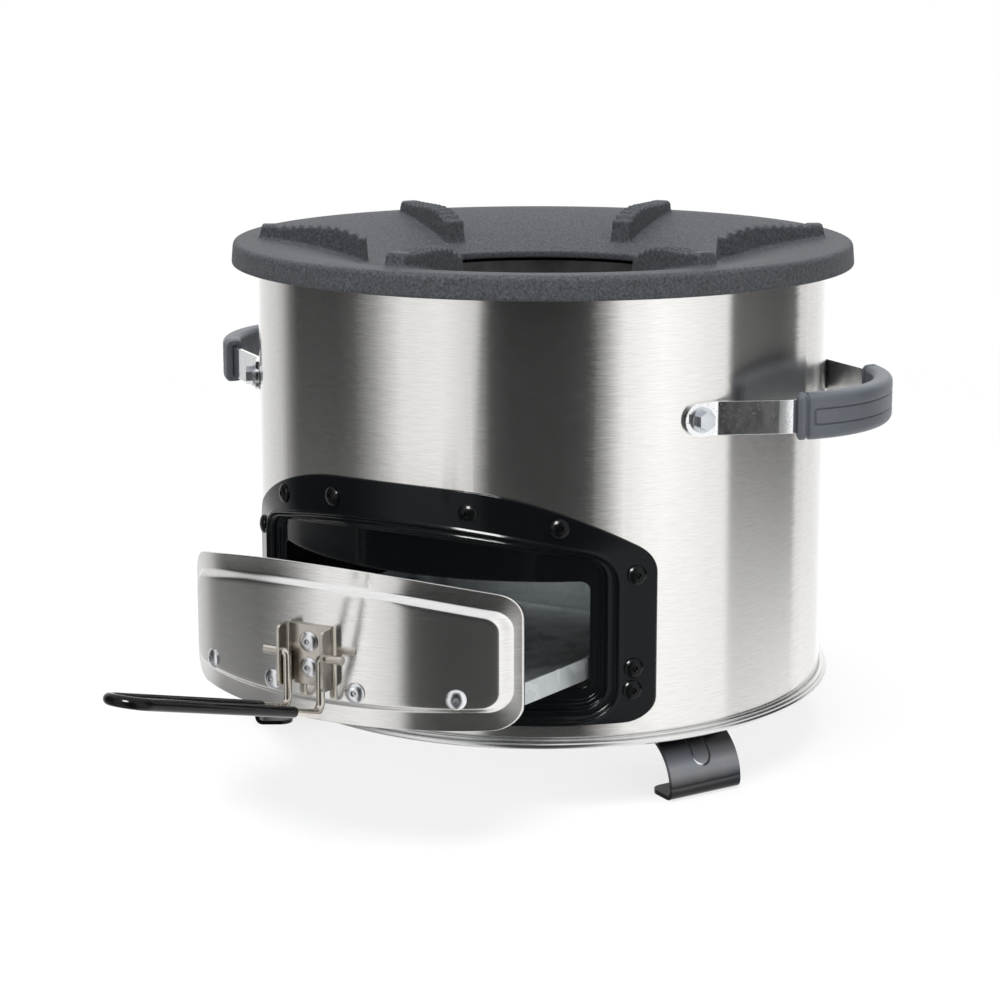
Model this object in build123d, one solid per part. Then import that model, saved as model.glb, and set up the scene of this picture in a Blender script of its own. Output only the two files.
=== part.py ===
from build123d import *
from math import asin, atan2, cos, degrees, radians, sin, sqrt
import os

# A portable solid-fuel cookstove. Millimetres, +Z up, front towards -Y.
# The origin is on the drum's axis, on the ground. Angles are in degrees from -Y towards +X.

# Drum and base
drum_radius = 145.0
drum_sheet = 0.8
drum_height = 219.5
foot_height = 29.2
pan_sheet = 1.0
bead_height = 4.8
bead_reach = 4.2
bead_round = 2.0

# Cast top
top_overhang = 13.0
rim_draft = 1.0
rim_depth = 11.6
rim_wall = 4.0
rim_round = 2.5
rim_edge_round = 1.0
deck_wall = 4.0
deck_flat = 12.0
dish_depth = 16.9
dish_bulge = 2.4
fire_hole_radius = 78.0
lug_count = 3
lug_turn = 30.0
lug_wide = 14.0
lug_deep = 8.0
lug_thick = 4.2
lug_gap = 1.0
lug_root = 2.0

# Pot supports, cast with the top
support_count = 6
support_height = 6.5
support_inset = 15.5
support_length = 54.0
support_top_wide = 10.0
support_draft = 1.2
support_round = 2.0
crest_flat = 28.5
crest_radius = 44.0
nose_slope = 1.5
tooth_pitch = 4.5
tooth_depth = 1.6
tooth_crown_share = 0.3
tooth_start = 7.0

# Fire chamber
ring_sheet = 1.0
ring_drop = 19.7
ring_hem = 12.0
liner_wall = 1.5
liner_flare = 2.5
liner_taper = 3.5
liner_lip = 10.0
liner_length = 119.0
grate_ledge = 8.0
grate_thick = 6.0
grate_gap = 1.4
grate_slots = 12
grate_slot_wide = 6.5
grate_slot_long = 40.0
grate_hub = 14.0
grate_eye_radius = 6.0
shield_inset = 29.0
shield_sheet = 1.0
shield_lip = 8.0
shield_rise = 2.0
seat_gap = 0.5

# Drawer front
front_radius = 135.0
front_offset = 78.5
front_sheet = 1.0
front_half = 88.0
front_lift = 27.7
front_rise = 71.5
front_arch = 333.0
front_corner = 11.5
panel_raise = 3.0
panel_inset = 5.2
panel_inset_top = 9.0
panel_inset_bottom = 10.0
panel_corner = 8.0
panel_crease = 1.6

# Frame round the drawer opening
frame_sheet = 1.0
pocket_depth = 6.0
pocket_steps = 3
pocket_side_gap = 1.8
pocket_under = 6.7
pocket_crown_drop = 0.8
pocket_arch = 430.0
pocket_corner = 8.5
step_side = 3.6
step_under = 3.4
step_over = 2.3
step_arch = 45.0
pocket_corner_grow = 2.5
flange_side = 14.1
flange_under = 3.2
flange_over = 19.7
crown_half = 35.1
crown_radius = 616.0
shoulder_radius = 125.0
flange_top_corner = 17.0
flange_bottom_corner = 11.0
mouth_under_gap = 4.0
mouth_side_gap = 1.5
mouth_height = 51.5
mouth_corner = 4.0
shell_gap = 0.4

# Ash tray and its runners
tray_sheet = 0.8
tray_half = 83.5
tray_lift = 3.3
tray_wall = 10.5
tray_long = 226.5
tray_corner = 12.0
tray_taper_long = 100.5
tray_front_half = 72.0
tray_lip_half = 76.0
tray_lip_height = 10.1
tray_lip_gap = 0.2
tray_dip = 1.5
tray_dip_half = 62.0
tray_dip_front_inset = 35.5
tray_dip_back_inset = 21.0
tray_dip_corner = 10.0
runner_sheet = 1.2
runner_gap = 0.3
runner_side_gap = 0.6
runner_ledge = 13.0
runner_guide = 8.0
runner_front_inset = 41.0
runner_back_inset = 55.0
runner_leg_long = 20.0
runner_leg_inset = 8.0
runner_foot = 12.0

# Blind rivets
rivet_head_radius = 4.65
rivet_head_height = 1.9
rivet_rim = 0.6
rivet_dome_share = 0.78
rivet_shank_radius = 2.4
rivet_eye_radius = 1.4
rivet_eye_depth = 1.3
rivet_tail_radius = 3.3
rivet_tail_length = 2.2
frame_rivet_shares = [(0.294, 0.899), (0.628, 0.845), (0.916, 0.635), (0.906, 0.236), (0.902, 0.141)]
front_rivet_shares = [(0.691, 0.217), (0.224, 0.225)]

# Pull bracket and pull
bracket_half = 12.2
bracket_sheet = 1.4
bracket_lift = 17.3
bracket_height = 27.6
bracket_depth = 9.0
bracket_bend = 1.8
bracket_corner = 2.5
bracket_rivet_shares = (0.293, 0.725)
hinge_reach = 5.8
hinge_lift = 32.4
hinge_clearance = 0.1
wire_radius = 1.95
wire_end = 20.6
wire_leg_gap = 0.15
wire_leg_drop = 25.7
wire_bend = 4.0
wire_tilt = 17.5
loop_length = 135.4
loop_end_share = 0.97
sleeve_radius = 2.5
sleeve_start = 22.0
sleeve_gap = 0.1

# Handles
strap_wide = 16.0
strap_thick = 2.0
strap_end_share = 0.99
handle_drop = 66.8
handle_bolt_angle = 58.4
tab_over = 9.0
tab_under = 8.2
tab_bend = 5.0
handle_reach = 35.0
handle_flank = 29.9
grip_end_gap = 8.1
grip_tall = 22.0
grip_thick = 9.6
grip_out = 0.6
grip_round = 3.2
collar_angle = 4.6
collar_proud = 0.8
grip_groove_angle = 1.2
grip_groove_deep = 1.0
grip_panel_gap = 5.7
grip_panel_tall = 9.0
grip_panel_deep = 0.8
bolt_radius = 2.5
bolt_flat = 4.0
bolt_head = 3.6
bolt_flange_radius = 5.9
bolt_flange = 1.4
bolt_tip = 2.0
washer_radius = 5.0
washer_thick = 1.0
nut_flat = 4.0
nut_thick = 4.0

# Feet
foot_angles = (60.0, -60.0, 180.0)
foot_wide = 40.0
foot_sheet = 2.0
foot_overhang = 4.5
foot_bow = 24.0
foot_toe_bend = 3.2
foot_top_long = 49.5
foot_base_long = 19.0
foot_corner = 6.0
foot_hole_radius = 2.75
foot_hole_inset = 7.5
tongue_half = 4.2
tongue_slot = 1.0
tongue_bottom = 15.0
tongue_deep = 14.5
foot_rivet_inset = 11.0
foot_rivet_spread = 12.0
flat_rivet_shank = 2.0
flat_rivet_head = 3.6
flat_rivet_tall = 1.4

overrun = 5.0

# Heights, radii and places that the sizes above give
top_radius = drum_radius + top_overhang
pan_top = foot_height + pan_sheet
drum_top = foot_height + drum_height
drum_inner = drum_radius - drum_sheet
shield_radius = drum_radius - shield_inset
rim_top = drum_top + deck_wall
tooth_count = int((support_length - nose_slope - tooth_start) / tooth_pitch)
ring_top = drum_top - ring_drop
liner_top_inner = fire_hole_radius + liner_flare
liner_base_inner = liner_top_inner - liner_taper
liner_bottom = ring_top - liner_length
shield_bottom = liner_bottom + shield_rise
front_bottom = foot_height + front_lift
front_top = front_bottom + front_rise
front_nose = -front_offset - front_radius
frame_face = drum_radius + frame_sheet
panel_face = front_radius + panel_raise
front_centre = Pos(0, -front_offset, 0)
bracket_back = front_offset + panel_face
bracket_bottom = front_bottom + bracket_lift
hinge_height = front_bottom + hinge_lift
tray_bottom = front_bottom + tray_lift
tray_back = front_nose + tray_long
runner_front = runner_front_inset - drum_radius
runner_back = drum_radius - runner_back_inset
handle_height = drum_top - handle_drop
handle_apex = drum_radius + handle_reach
foot_reach = drum_radius + foot_overhang
foot_top_inner = foot_reach - foot_top_long
foot_base_inner = foot_reach - foot_base_long
foot_hole_circle = foot_reach - foot_hole_inset
foot_rivet_circle = foot_top_inner + foot_rivet_inset


def ring(outer, inner, bottom, top):
    """A plain ring about the Z axis, between two heights."""
    height = top - bottom
    base = (Align.CENTER, Align.CENTER, Align.MIN)
    return Pos(0, 0, bottom) * (Cylinder(outer, height, align=base) - Cylinder(inner, height, align=base))


def turned(face):
    """A face drawn in radius and height, turned about the Z axis."""
    return revolve(Plane.XZ * face, Axis.Z)


def sheet_section(points, radii, thick):
    """The section of a bent sheet, from the middle line of its wall."""
    line = FilletPolyline(*points, radius=radii)
    return trace(Wire(line.edges()), line_width=thick)


def at_angle(angle):
    """Turns what was made along +X to an angle from -Y towards +X."""
    return Rot(0, 0, angle - 90)


def outwards(angle, radius, height):
    """The place on a drum surface where local +Z points outwards."""
    return at_angle(angle) * Pos(radius, 0, height) * Rot(0, 90, 0)


def arched(half, bottom, top, arch, top_corner, bottom_corner):
    """An upright outline with straight sides and one arc for its top."""
    shoulder = top - arch + sqrt(arch**2 - half**2)
    sides = Polyline((half, shoulder), (half, bottom), (-half, bottom), (-half, shoulder))
    crown = ThreePointArc((-half, shoulder), (0, top), (half, shoulder))
    outline = make_face([*sides.edges(), *crown.edges()])
    outline = fillet(outline.vertices().group_by(Axis.Y)[0], bottom_corner)
    return fillet(outline.vertices().group_by(Axis.Y)[-1], top_corner)


def crowned(half, bottom, top):
    """The frame's outline, whose top is a flat arc between two tighter ones."""
    slope = asin(crown_half / crown_radius)
    knee = top - crown_radius * (1 - cos(slope))
    centre_x = crown_half - shoulder_radius * sin(slope)
    centre_z = knee - shoulder_radius * cos(slope)
    end = asin((half - centre_x) / shoulder_radius)
    middle = (slope + end) / 2
    shoulder = centre_z + shoulder_radius * cos(end)
    middle_x = centre_x + shoulder_radius * sin(middle)
    middle_z = centre_z + shoulder_radius * cos(middle)
    sides = Polyline((half, shoulder), (half, bottom), (-half, bottom), (-half, shoulder))
    left = ThreePointArc((-half, shoulder), (-middle_x, middle_z), (-crown_half, knee))
    crown = ThreePointArc((-crown_half, knee), (0, top), (crown_half, knee))
    right = ThreePointArc((crown_half, knee), (middle_x, middle_z), (half, shoulder))
    outline = make_face([*sides.edges(), *left.edges(), *crown.edges(), *right.edges()])
    low = outline.vertices().group_by(Axis.Y)[0]
    outline = fillet(low, flange_bottom_corner)
    high = outline.vertices().filter_by_position(Axis.Y, shoulder, shoulder)
    return fillet(high.filter_by(lambda v: abs(v.X) > crown_half), flange_top_corner)


def curved_skin(outline, outer, inner):
    """The part of a drum wall that lies behind an upright outline."""
    box = outline.bounding_box()
    wall = ring(outer, inner, box.min.Y - overrun, box.max.Y + overrun)
    return wall & extrude(Plane.XZ * outline, outer + overrun)


def pocket_outline(level, grow):
    """The frame's stepped recess: level 0 is its floor, the highest level its brim."""
    return arched(
        front_half + pocket_side_gap + step_side * level + grow,
        front_bottom - pocket_under - step_under * level - grow,
        front_top - pocket_crown_drop + step_over * level + grow,
        pocket_arch - step_arch * level + grow,
        pocket_corner + pocket_corner_grow * level + grow,
        pocket_corner + pocket_corner_grow * level + grow,
    )


brim = pocket_steps - 1
flange_half = front_half + pocket_side_gap + step_side * brim + flange_side
flange_bottom = front_bottom - pocket_under - step_under * brim - flange_under
flange_top = front_top - pocket_crown_drop + step_over * brim + flange_over


def outer_shell():
    """The stainless drum with the hole that the frame's recess sits in."""
    shell = ring(drum_radius, drum_inner, pan_top, drum_top)
    window = extrude(Plane.XZ * pocket_outline(brim, frame_sheet + shell_gap), drum_radius + overrun)
    holes = [
        outwards(angle, drum_radius, height) * Cylinder(rivet_shank_radius, 2 * overrun)
        for angle, height in frame_rivets_at()
    ]
    holes += [
        outwards(angle, drum_radius, handle_height) * Cylinder(bolt_radius, 2 * overrun)
        for angle in handle_bolts_at()
    ]
    return shell - window - holes


def base_pan():
    """The bottom sheet, with the rolled bead that closes the drum."""
    reach = drum_radius + bead_reach
    bead_top = foot_height + bead_height
    face = make_face(
        Polyline(
            (0, foot_height),
            (reach, foot_height),
            (reach, bead_top),
            (drum_radius, bead_top),
            (drum_radius, pan_top),
            (0, pan_top),
            close=True,
        ).edges()
    )
    face = fillet(face.vertices().group_by(Axis.X)[-1], bead_round)
    pan = turned(face)
    holes = [Pos(x, y, foot_height) * Cylinder(flat_rivet_shank, 2 * overrun) for x, y in flat_rivets_at()]
    return pan - holes


def dish_line(lower, outer_r):
    """The dished deck's line from the fire hole up to the flat ring."""
    inner_z = rim_top - dish_depth - lower
    outer_z = rim_top - lower
    middle = ((fire_hole_radius + outer_r) / 2, (inner_z + outer_z) / 2 + dish_bulge)
    return ThreePointArc((fire_hole_radius, inner_z), middle, (outer_r, outer_z))


def crest_height(radius):
    """How high a pot support stands, from its flat top to its nose."""
    top = rim_top + support_height
    past = top_radius - support_inset - crest_flat - radius
    if past <= 0:
        return top
    return top - crest_radius + sqrt(crest_radius**2 - past**2)


def support_blade():
    """One pot support along +X: a toothed crest on a drafted, rounded blade."""
    outer = top_radius - support_inset
    inner = outer - support_length
    low = rim_top - dish_depth - deck_wall
    points = [(outer + nose_slope, low), (outer + nose_slope, rim_top), (outer, crest_height(outer))]
    for tooth in range(tooth_count):
        start = outer - tooth_start - tooth * tooth_pitch
        crown = tooth_pitch * tooth_crown_share
        valley = start - tooth_pitch / 2
        floor = crest_height(valley) - tooth_depth
        points.append((start, crest_height(start)))
        points.append((valley + crown / 2, floor))
        points.append((valley - crown / 2, floor))
        points.append((start - tooth_pitch + crown, crest_height(start - tooth_pitch + crown)))
    points.append((inner + nose_slope, crest_height(inner + nose_slope)))
    points.append((inner, low))
    blade = extrude(Plane.XZ * make_face(Polyline(*points, close=True).edges()), support_top_wide, both=True)
    top = rim_top + support_height
    foot = support_top_wide / 2 + support_draft
    brow = support_top_wide / 2
    section = make_face(Polyline((-foot, low), (foot, low), (brow, top), (-brow, top), close=True).edges())
    section = fillet(section.vertices().group_by(Axis.Y)[-1], support_round)
    prism = extrude(Plane.YZ * section, outer + overrun)
    return blade & prism


def cast_top():
    """The sand-cast top: rim, flat ring, dished deck, fire hole, six toothed supports."""
    low = rim_top - dish_depth - deck_wall
    flat_edge = top_radius - deck_flat
    rim_low = rim_top - rim_depth
    rim_inner = top_radius - rim_wall
    rim = FilletPolyline(
        (flat_edge, rim_top),
        (top_radius - rim_draft, rim_top),
        (top_radius, rim_low),
        (rim_inner - rim_wall, rim_low),
        radius=[rim_round, rim_edge_round],
    )
    inside = Polyline(
        (rim_inner - rim_wall, rim_low),
        (rim_inner - rim_wall, low),
        (fire_hole_radius, low),
        (fire_hole_radius, rim_top - dish_depth),
    )
    blank = turned(make_face([*dish_line(0, flat_edge).edges(), *rim.edges(), *inside.edges()]))
    blade = support_blade()
    for turn in range(support_count):
        blank += at_angle(turn * 360 / support_count) * blade
    under_flat = drum_inner - lug_gap - lug_thick - lug_root
    under = Polyline(
        (under_flat, rim_top - deck_wall),
        (rim_inner, rim_top - deck_wall),
        (rim_inner, low - overrun),
        (fire_hole_radius, low - overrun),
        (fire_hole_radius, low),
    )
    cavity = turned(make_face([*dish_line(deck_wall, under_flat).edges(), *under.edges()]))
    top = blank - cavity
    lug_middle = drum_inner - lug_gap - lug_thick / 2
    lug_height = drum_top + (lug_root - lug_deep) / 2
    lug = Pos(lug_middle, 0, lug_height) * Box(lug_thick, lug_wide, lug_deep + lug_root)
    for turn in range(lug_count):
        top += at_angle(lug_turn + turn * 360 / lug_count) * lug
    return top


def top_ring():
    """The sheet ring in the drum's mouth that carries the liner and the shield."""
    inner = liner_top_inner + liner_wall + seat_gap
    wall = drum_inner - ring_sheet
    face = make_face(
        Polyline(
            (inner, ring_top),
            (drum_inner, ring_top),
            (drum_inner, ring_top - ring_hem),
            (wall, ring_top - ring_hem),
            (wall, ring_top - ring_sheet),
            (inner, ring_top - ring_sheet),
            close=True,
        ).edges()
    )
    return turned(face)


def combustion_liner():
    """The tapered fire chamber, hung by its lip, with a ledge for the grate."""
    base_outer = liner_base_inner + liner_wall
    top_outer = liner_top_inner + liner_wall
    face = make_face(
        Polyline(
            (liner_base_inner - grate_ledge, liner_bottom),
            (base_outer, liner_bottom),
            (top_outer, ring_top),
            (top_outer + liner_lip, ring_top),
            (top_outer + liner_lip, ring_top + liner_wall),
            (liner_top_inner, ring_top + liner_wall),
            (liner_base_inner, liner_bottom + liner_wall),
            (liner_base_inner - grate_ledge, liner_bottom + liner_wall),
            close=True,
        ).edges()
    )
    return turned(face)


def charcoal_grate():
    """The loose cast grate, slotted like a wheel."""
    radius = liner_base_inner - grate_gap
    disc = Circle(radius) - Circle(grate_eye_radius)
    slot = Pos(grate_hub + grate_slot_long / 2, 0) * SlotOverall(grate_slot_long, grate_slot_wide)
    for turn in range(grate_slots):
        disc -= Rot(0, 0, turn * 360 / grate_slots) * slot
    return Pos(0, 0, liner_bottom + liner_wall) * extrude(disc, grate_thick)


def heat_shield():
    """The galvanised sleeve and floor that hold the insulation."""
    inner = liner_base_inner + liner_wall + seat_gap
    top = ring_top - ring_sheet
    face = make_face(
        Polyline(
            (inner, shield_bottom),
            (shield_radius, shield_bottom),
            (shield_radius, top - shield_sheet),
            (shield_radius + shield_lip, top - shield_sheet),
            (shield_radius + shield_lip, top),
            (shield_radius - shield_sheet, top),
            (shield_radius - shield_sheet, shield_bottom + shield_sheet),
            (inner, shield_bottom + shield_sheet),
            close=True,
        ).edges()
    )
    return turned(face)


def insulation_ring():
    """The insulation between liner and shield, which rests on the shield's floor."""
    outer = shield_radius - shield_sheet - seat_gap
    bottom = shield_bottom + shield_sheet
    top = ring_top - ring_sheet - seat_gap
    climb = liner_taper / liner_length
    base = liner_base_inner + liner_wall + seat_gap
    inner_low = base + climb * (bottom - liner_bottom)
    inner_high = base + climb * (top - liner_bottom)
    corners = [(inner_low, bottom), (outer, bottom), (outer, top), (inner_high, top)]
    return turned(make_face(Polyline(*corners, close=True).edges()))


def frame_rivets_at():
    """Angles and heights of the frame's rivets, both sides alike."""
    widest = degrees(asin(flange_half / drum_radius))
    return [
        (side * share * widest, flange_bottom + rise * (flange_top - flange_bottom))
        for side in (-1, 1)
        for share, rise in frame_rivet_shares
    ]


def handle_bolts_at():
    """Angles of the four handle bolts."""
    return [side * angle for side in (-1, 1) for angle in (handle_bolt_angle, 180 - handle_bolt_angle)]


def foot_rivets_at():
    """Plan places of the rivets that hold the feet to the pan."""
    places = []
    for angle in foot_angles:
        for side in (-1, 1):
            place = at_angle(angle) * Pos(foot_rivet_circle, side * foot_rivet_spread, 0)
            places.append((place.position.X, place.position.Y))
    return places


def runner_legs_at():
    """The near end of each runner leg, along Y."""
    return (runner_front + runner_leg_inset, runner_back - runner_leg_inset - runner_leg_long)


def runner_rivets_at():
    """Plan places of the rivets that hold the runners to the pan."""
    x = tray_half + runner_side_gap + runner_sheet + runner_foot / 2
    return [(side * x, start + runner_leg_long / 2) for side in (-1, 1) for start in runner_legs_at()]


def flat_rivets_at():
    """Plan places of all rivets through the pan."""
    return foot_rivets_at() + runner_rivets_at()


def mouth():
    """The frame's opening, sized on the tray that passes through it."""
    half = tray_half + mouth_side_gap
    bottom = tray_bottom - mouth_under_gap
    return Pos(0, bottom + mouth_height / 2) * RectangleRounded(2 * half, mouth_height, mouth_corner)


def door_frame():
    """The enamelled frame: a flange on the drum and a stepped recess with the mouth in it."""
    drop = pocket_depth / pocket_steps
    frame = curved_skin(crowned(flange_half, flange_bottom, flange_top), frame_face, drum_radius)
    floors = [(level, frame_face - drop * (pocket_steps - level)) for level in range(pocket_steps)]
    for level, floor in floors:
        frame += curved_skin(pocket_outline(level, frame_sheet), frame_face, floor - frame_sheet)
    for level, floor in floors:
        frame -= curved_skin(pocket_outline(level, 0), frame_face + overrun, floor)
    frame -= extrude(Plane.XZ * mouth(), frame_face + overrun)
    holes = [
        outwards(angle, drum_radius, height) * Cylinder(rivet_shank_radius, 2 * overrun)
        for angle, height in frame_rivets_at()
    ]
    return frame - holes


def blind_rivet(grip, back_radius):
    """A set blind rivet: domed head at height zero upwards, shank and tail below."""
    seat = grip + back_radius - sqrt(back_radius**2 - rivet_tail_radius**2)
    crown = rivet_head_height
    shoulder = (rivet_head_radius + rivet_eye_radius) / 2
    shank = Polyline(
        (rivet_eye_radius, crown),
        (rivet_eye_radius, crown - rivet_eye_depth),
        (0, crown - rivet_eye_depth),
        (0, -seat - rivet_tail_length),
        (rivet_tail_radius, -seat - rivet_tail_length),
        (rivet_tail_radius, -seat),
        (rivet_shank_radius, -seat),
        (rivet_shank_radius, 0),
        (rivet_head_radius, 0),
        (rivet_head_radius, rivet_rim),
    )
    dome_middle = (shoulder, rivet_rim + (crown - rivet_rim) * rivet_dome_share)
    dome = ThreePointArc((rivet_head_radius, rivet_rim), dome_middle, (rivet_eye_radius, crown))
    return turned(make_face([*shank.edges(), *dome.edges()]))


def door_frame_rivets():
    """The black rivets that hold the frame to the drum."""
    rivet = blind_rivet(frame_sheet + drum_sheet, drum_inner)
    return [outwards(angle, frame_face, height) * rivet for angle, height in frame_rivets_at()]


def front_rivets_at():
    """Angles about the drawer front's own axis, and heights."""
    widest = degrees(asin(front_half / front_radius))
    return [
        (side * share * widest, front_bottom + rise * front_rise)
        for side in (-1, 1)
        for share, rise in front_rivet_shares
    ]


def front_rivet_holes():
    """Cutters for the rivets that join the drawer front and the tray."""
    return [
        front_centre * outwards(angle, panel_face, height) * Cylinder(rivet_shank_radius, 2 * overrun)
        for angle, height in front_rivets_at()
    ]


def bracket_rivets_at():
    """Heights of the bracket's two rivets."""
    return [bracket_bottom + share * bracket_height for share in bracket_rivet_shares]


def bracket_rivet_holes():
    """Cutters for the rivets that join the bracket and the drawer front."""
    return [
        Pos(0, -bracket_back, height) * Rot(90, 0, 0) * Cylinder(rivet_shank_radius, 2 * overrun)
        for height in bracket_rivets_at()
    ]


def drawer_front():
    """The curved drawer front: a flange all round a raised panel."""
    front = curved_skin(
        arched(front_half, front_bottom, front_top, front_arch, front_corner, front_corner),
        front_radius,
        front_radius - front_sheet,
    )

    def panel(grow):
        return arched(
            front_half - panel_inset + grow,
            front_bottom + panel_inset_bottom - grow,
            front_top - panel_inset_top + grow,
            front_arch - panel_inset_top + grow,
            panel_corner + grow,
            panel_corner + grow,
        )

    def pressed(outline, face, crease):
        block = curved_skin(outline, face, front_radius - front_sheet - overrun)
        return fillet(block.faces().sort_by(SortBy.AREA)[-1].edges(), crease)

    block = pressed(panel(0), panel_face, panel_crease)
    front += block & ring(panel_face + overrun, front_radius - front_sheet, front_bottom, front_top)
    front -= pressed(panel(-front_sheet), panel_face - front_sheet, panel_crease - front_sheet)
    front = front_centre * front
    return front - front_rivet_holes() - bracket_rivet_holes()


def ash_tray():
    """The galvanised tray, with rounded back corners and a lip that follows the drawer front."""
    touch = front_radius - front_sheet
    lip_face = panel_face - front_sheet
    lip_bottom = front_bottom + panel_inset_bottom + front_sheet + tray_lip_gap
    taper_start = front_nose + tray_taper_long
    dip_front = front_nose + tray_dip_front_inset
    dip_back = tray_back - tray_dip_back_inset

    def plan(inset):
        half = tray_half - inset
        back = tray_back - inset
        front_half_here = tray_front_half - inset
        front_radius_here = touch - inset
        front_y = -front_offset - sqrt(front_radius_here**2 - front_half_here**2)
        nose = -front_offset - front_radius_here
        sides = Polyline(
            (front_half_here, front_y),
            (half, taper_start),
            (half, back),
            (-half, back),
            (-half, taper_start),
            (-front_half_here, front_y),
        )
        curve = ThreePointArc((-front_half_here, front_y), (0, nose), (front_half_here, front_y))
        outline = make_face([*sides.edges(), *curve.edges()])
        return fillet(outline.vertices().group_by(Axis.Y)[-1], tray_corner - inset)

    tray = Pos(0, 0, tray_bottom) * extrude(plan(0), tray_wall)
    dip_long = dip_back - dip_front
    dip_middle = (dip_back + dip_front) / 2

    def dip(grow):
        corner = tray_dip_corner + grow
        return Pos(0, dip_middle) * RectangleRounded(2 * (tray_dip_half + grow), dip_long + 2 * grow, corner)

    tray += Pos(0, 0, tray_bottom - tray_dip) * extrude(dip(tray_sheet), tray_dip + tray_sheet)
    tray -= Pos(0, 0, tray_bottom + tray_sheet) * extrude(plan(tray_sheet), tray_wall)
    tray -= Pos(0, 0, tray_bottom - tray_dip + tray_sheet) * extrude(dip(0), tray_wall)
    lip = Pos(0, lip_bottom + tray_lip_height / 2) * Rectangle(2 * tray_lip_half, tray_lip_height)
    lip = fillet(lip.vertices().group_by(Axis.Y)[-1], rivet_head_radius)
    step = Pos(0, lip_bottom + tray_sheet / 2) * Rectangle(2 * tray_lip_half, tray_sheet)
    tray += front_centre * curved_skin(lip, lip_face, lip_face - tray_sheet)
    tray += front_centre * curved_skin(step, lip_face, touch - tray_sheet)
    above_middle = lip_bottom + tray_sheet + tray_lip_height
    above = Pos(0, above_middle) * Rectangle(2 * tray_lip_half, 2 * tray_lip_height)
    tray -= front_centre * curved_skin(above, lip_face - tray_sheet, touch - tray_sheet)
    return tray - front_rivet_holes()


def drawer_front_rivets():
    """The four rivets along the drawer front's lower edge."""
    grip = front_sheet + tray_sheet
    rivet = blind_rivet(grip, panel_face - grip)
    return [front_centre * outwards(angle, panel_face, height) * rivet for angle, height in front_rivets_at()]


def pull_bracket():
    """The U bracket: a back plate and two ears with the hinge holes."""
    middle = bracket_half - bracket_sheet / 2
    depth = bracket_depth
    line = [(-middle, depth), (-middle, bracket_sheet / 2), (middle, bracket_sheet / 2), (middle, depth)]
    section = sheet_section(line, bracket_bend, bracket_sheet)
    channel = Pos(0, 0, bracket_bottom) * extrude(section, bracket_height)
    channel = fillet(channel.edges().filter_by(Axis.X).group_by(Axis.Y)[-1], bracket_corner)
    channel = Pos(0, -bracket_back, 0) * Rot(0, 0, 180) * channel
    hole = Cylinder(wire_radius + hinge_clearance, 2 * wire_end)
    channel -= Pos(0, -bracket_back - hinge_reach, hinge_height) * Rot(0, 90, 0) * hole
    return channel - bracket_rivet_holes()


def pull_bracket_rivets():
    """The two rivets through the bracket's back plate."""
    grip = bracket_sheet + front_sheet
    rivet = blind_rivet(grip, panel_face - front_sheet)
    face = bracket_back + bracket_sheet
    return [Pos(0, -face, height) * Rot(90, 0, 0) * rivet for height in bracket_rivets_at()]


wire_leg = bracket_half - bracket_sheet - wire_radius - wire_leg_gap


def loop_place(x, along):
    """A point of the tilted loop, by its side and its distance from the legs' feet."""
    tilt = radians(wire_tilt)
    y = -bracket_back - hinge_reach - along * cos(tilt)
    return (x, y, hinge_height - wire_leg_drop + along * sin(tilt))


def pull_route(start):
    """The loop's corners and bends from a distance along one arm to the same on the other."""
    right = [loop_place(wire_leg, start), loop_place(wire_leg, loop_length)]
    left = [(-x, y, z) for x, y, z in reversed(right)]
    return right + left, [loop_end_share * wire_leg, loop_end_share * wire_leg]


def pipe(route, radii, radius):
    """A round bar along a route of straight runs and bends."""
    line = FilletPolyline(*route, radius=radii)
    path = Wire(line.edges())
    return sweep(Plane(origin=path @ 0, z_dir=path % 0) * Circle(radius), path=path)


def pull_wire():
    """The bent wire: hinge ends, legs and loop in one piece."""
    loop, radii = pull_route(0)
    axis_y = -bracket_back - hinge_reach
    start = [(wire_end, axis_y, hinge_height), (wire_leg, axis_y, hinge_height)]
    end = [(-x, y, z) for x, y, z in reversed(start)]
    hinge_bend = wire_radius + wire_leg_gap
    bends = [hinge_bend, wire_bend, *radii, wire_bend, hinge_bend]
    return pipe(start + loop + end, bends, wire_radius)


def pull_sleeve():
    """The vinyl sleeve that covers the loop."""
    route, radii = pull_route(sleeve_start)
    return pipe(route, radii, sleeve_radius) - pipe(route, radii, wire_radius + sleeve_gap)


def strap_knee():
    """The right-hand strap's bolt and the bend beside it, in plan."""
    angle = radians(handle_bolt_angle)
    middle = drum_radius + strap_thick / 2
    bolt = (middle * sin(angle), -middle * cos(angle))
    return bolt, (bolt[0] + tab_under * cos(angle), bolt[1] + tab_under * sin(angle))


def strap_arc():
    """The radius and half angle of the arc that joins the strap's two straight flanks."""
    _, knee = strap_knee()
    rise = handle_apex - knee[0]
    radius = (knee[1] ** 2 + rise**2 - handle_flank**2) / (2 * rise)
    lean = atan2(-knee[1], knee[0] - handle_apex + radius)
    return radius, degrees(lean - atan2(handle_flank, radius))


def strap_route():
    """The plan line of the right-hand strap, and the bend at each corner."""
    bolt, knee = strap_knee()
    radius, half_angle = strap_arc()
    angle = radians(handle_bolt_angle)
    tab_end = (bolt[0] - tab_over * cos(angle), bolt[1] - tab_over * sin(angle))
    apex = handle_apex - radius + radius / cos(radians(half_angle))
    upper = [(knee[0], -knee[1]), (tab_end[0], -tab_end[1])]
    return [tab_end, knee, (apex, 0), *upper], [tab_bend, radius, tab_bend]


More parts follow.
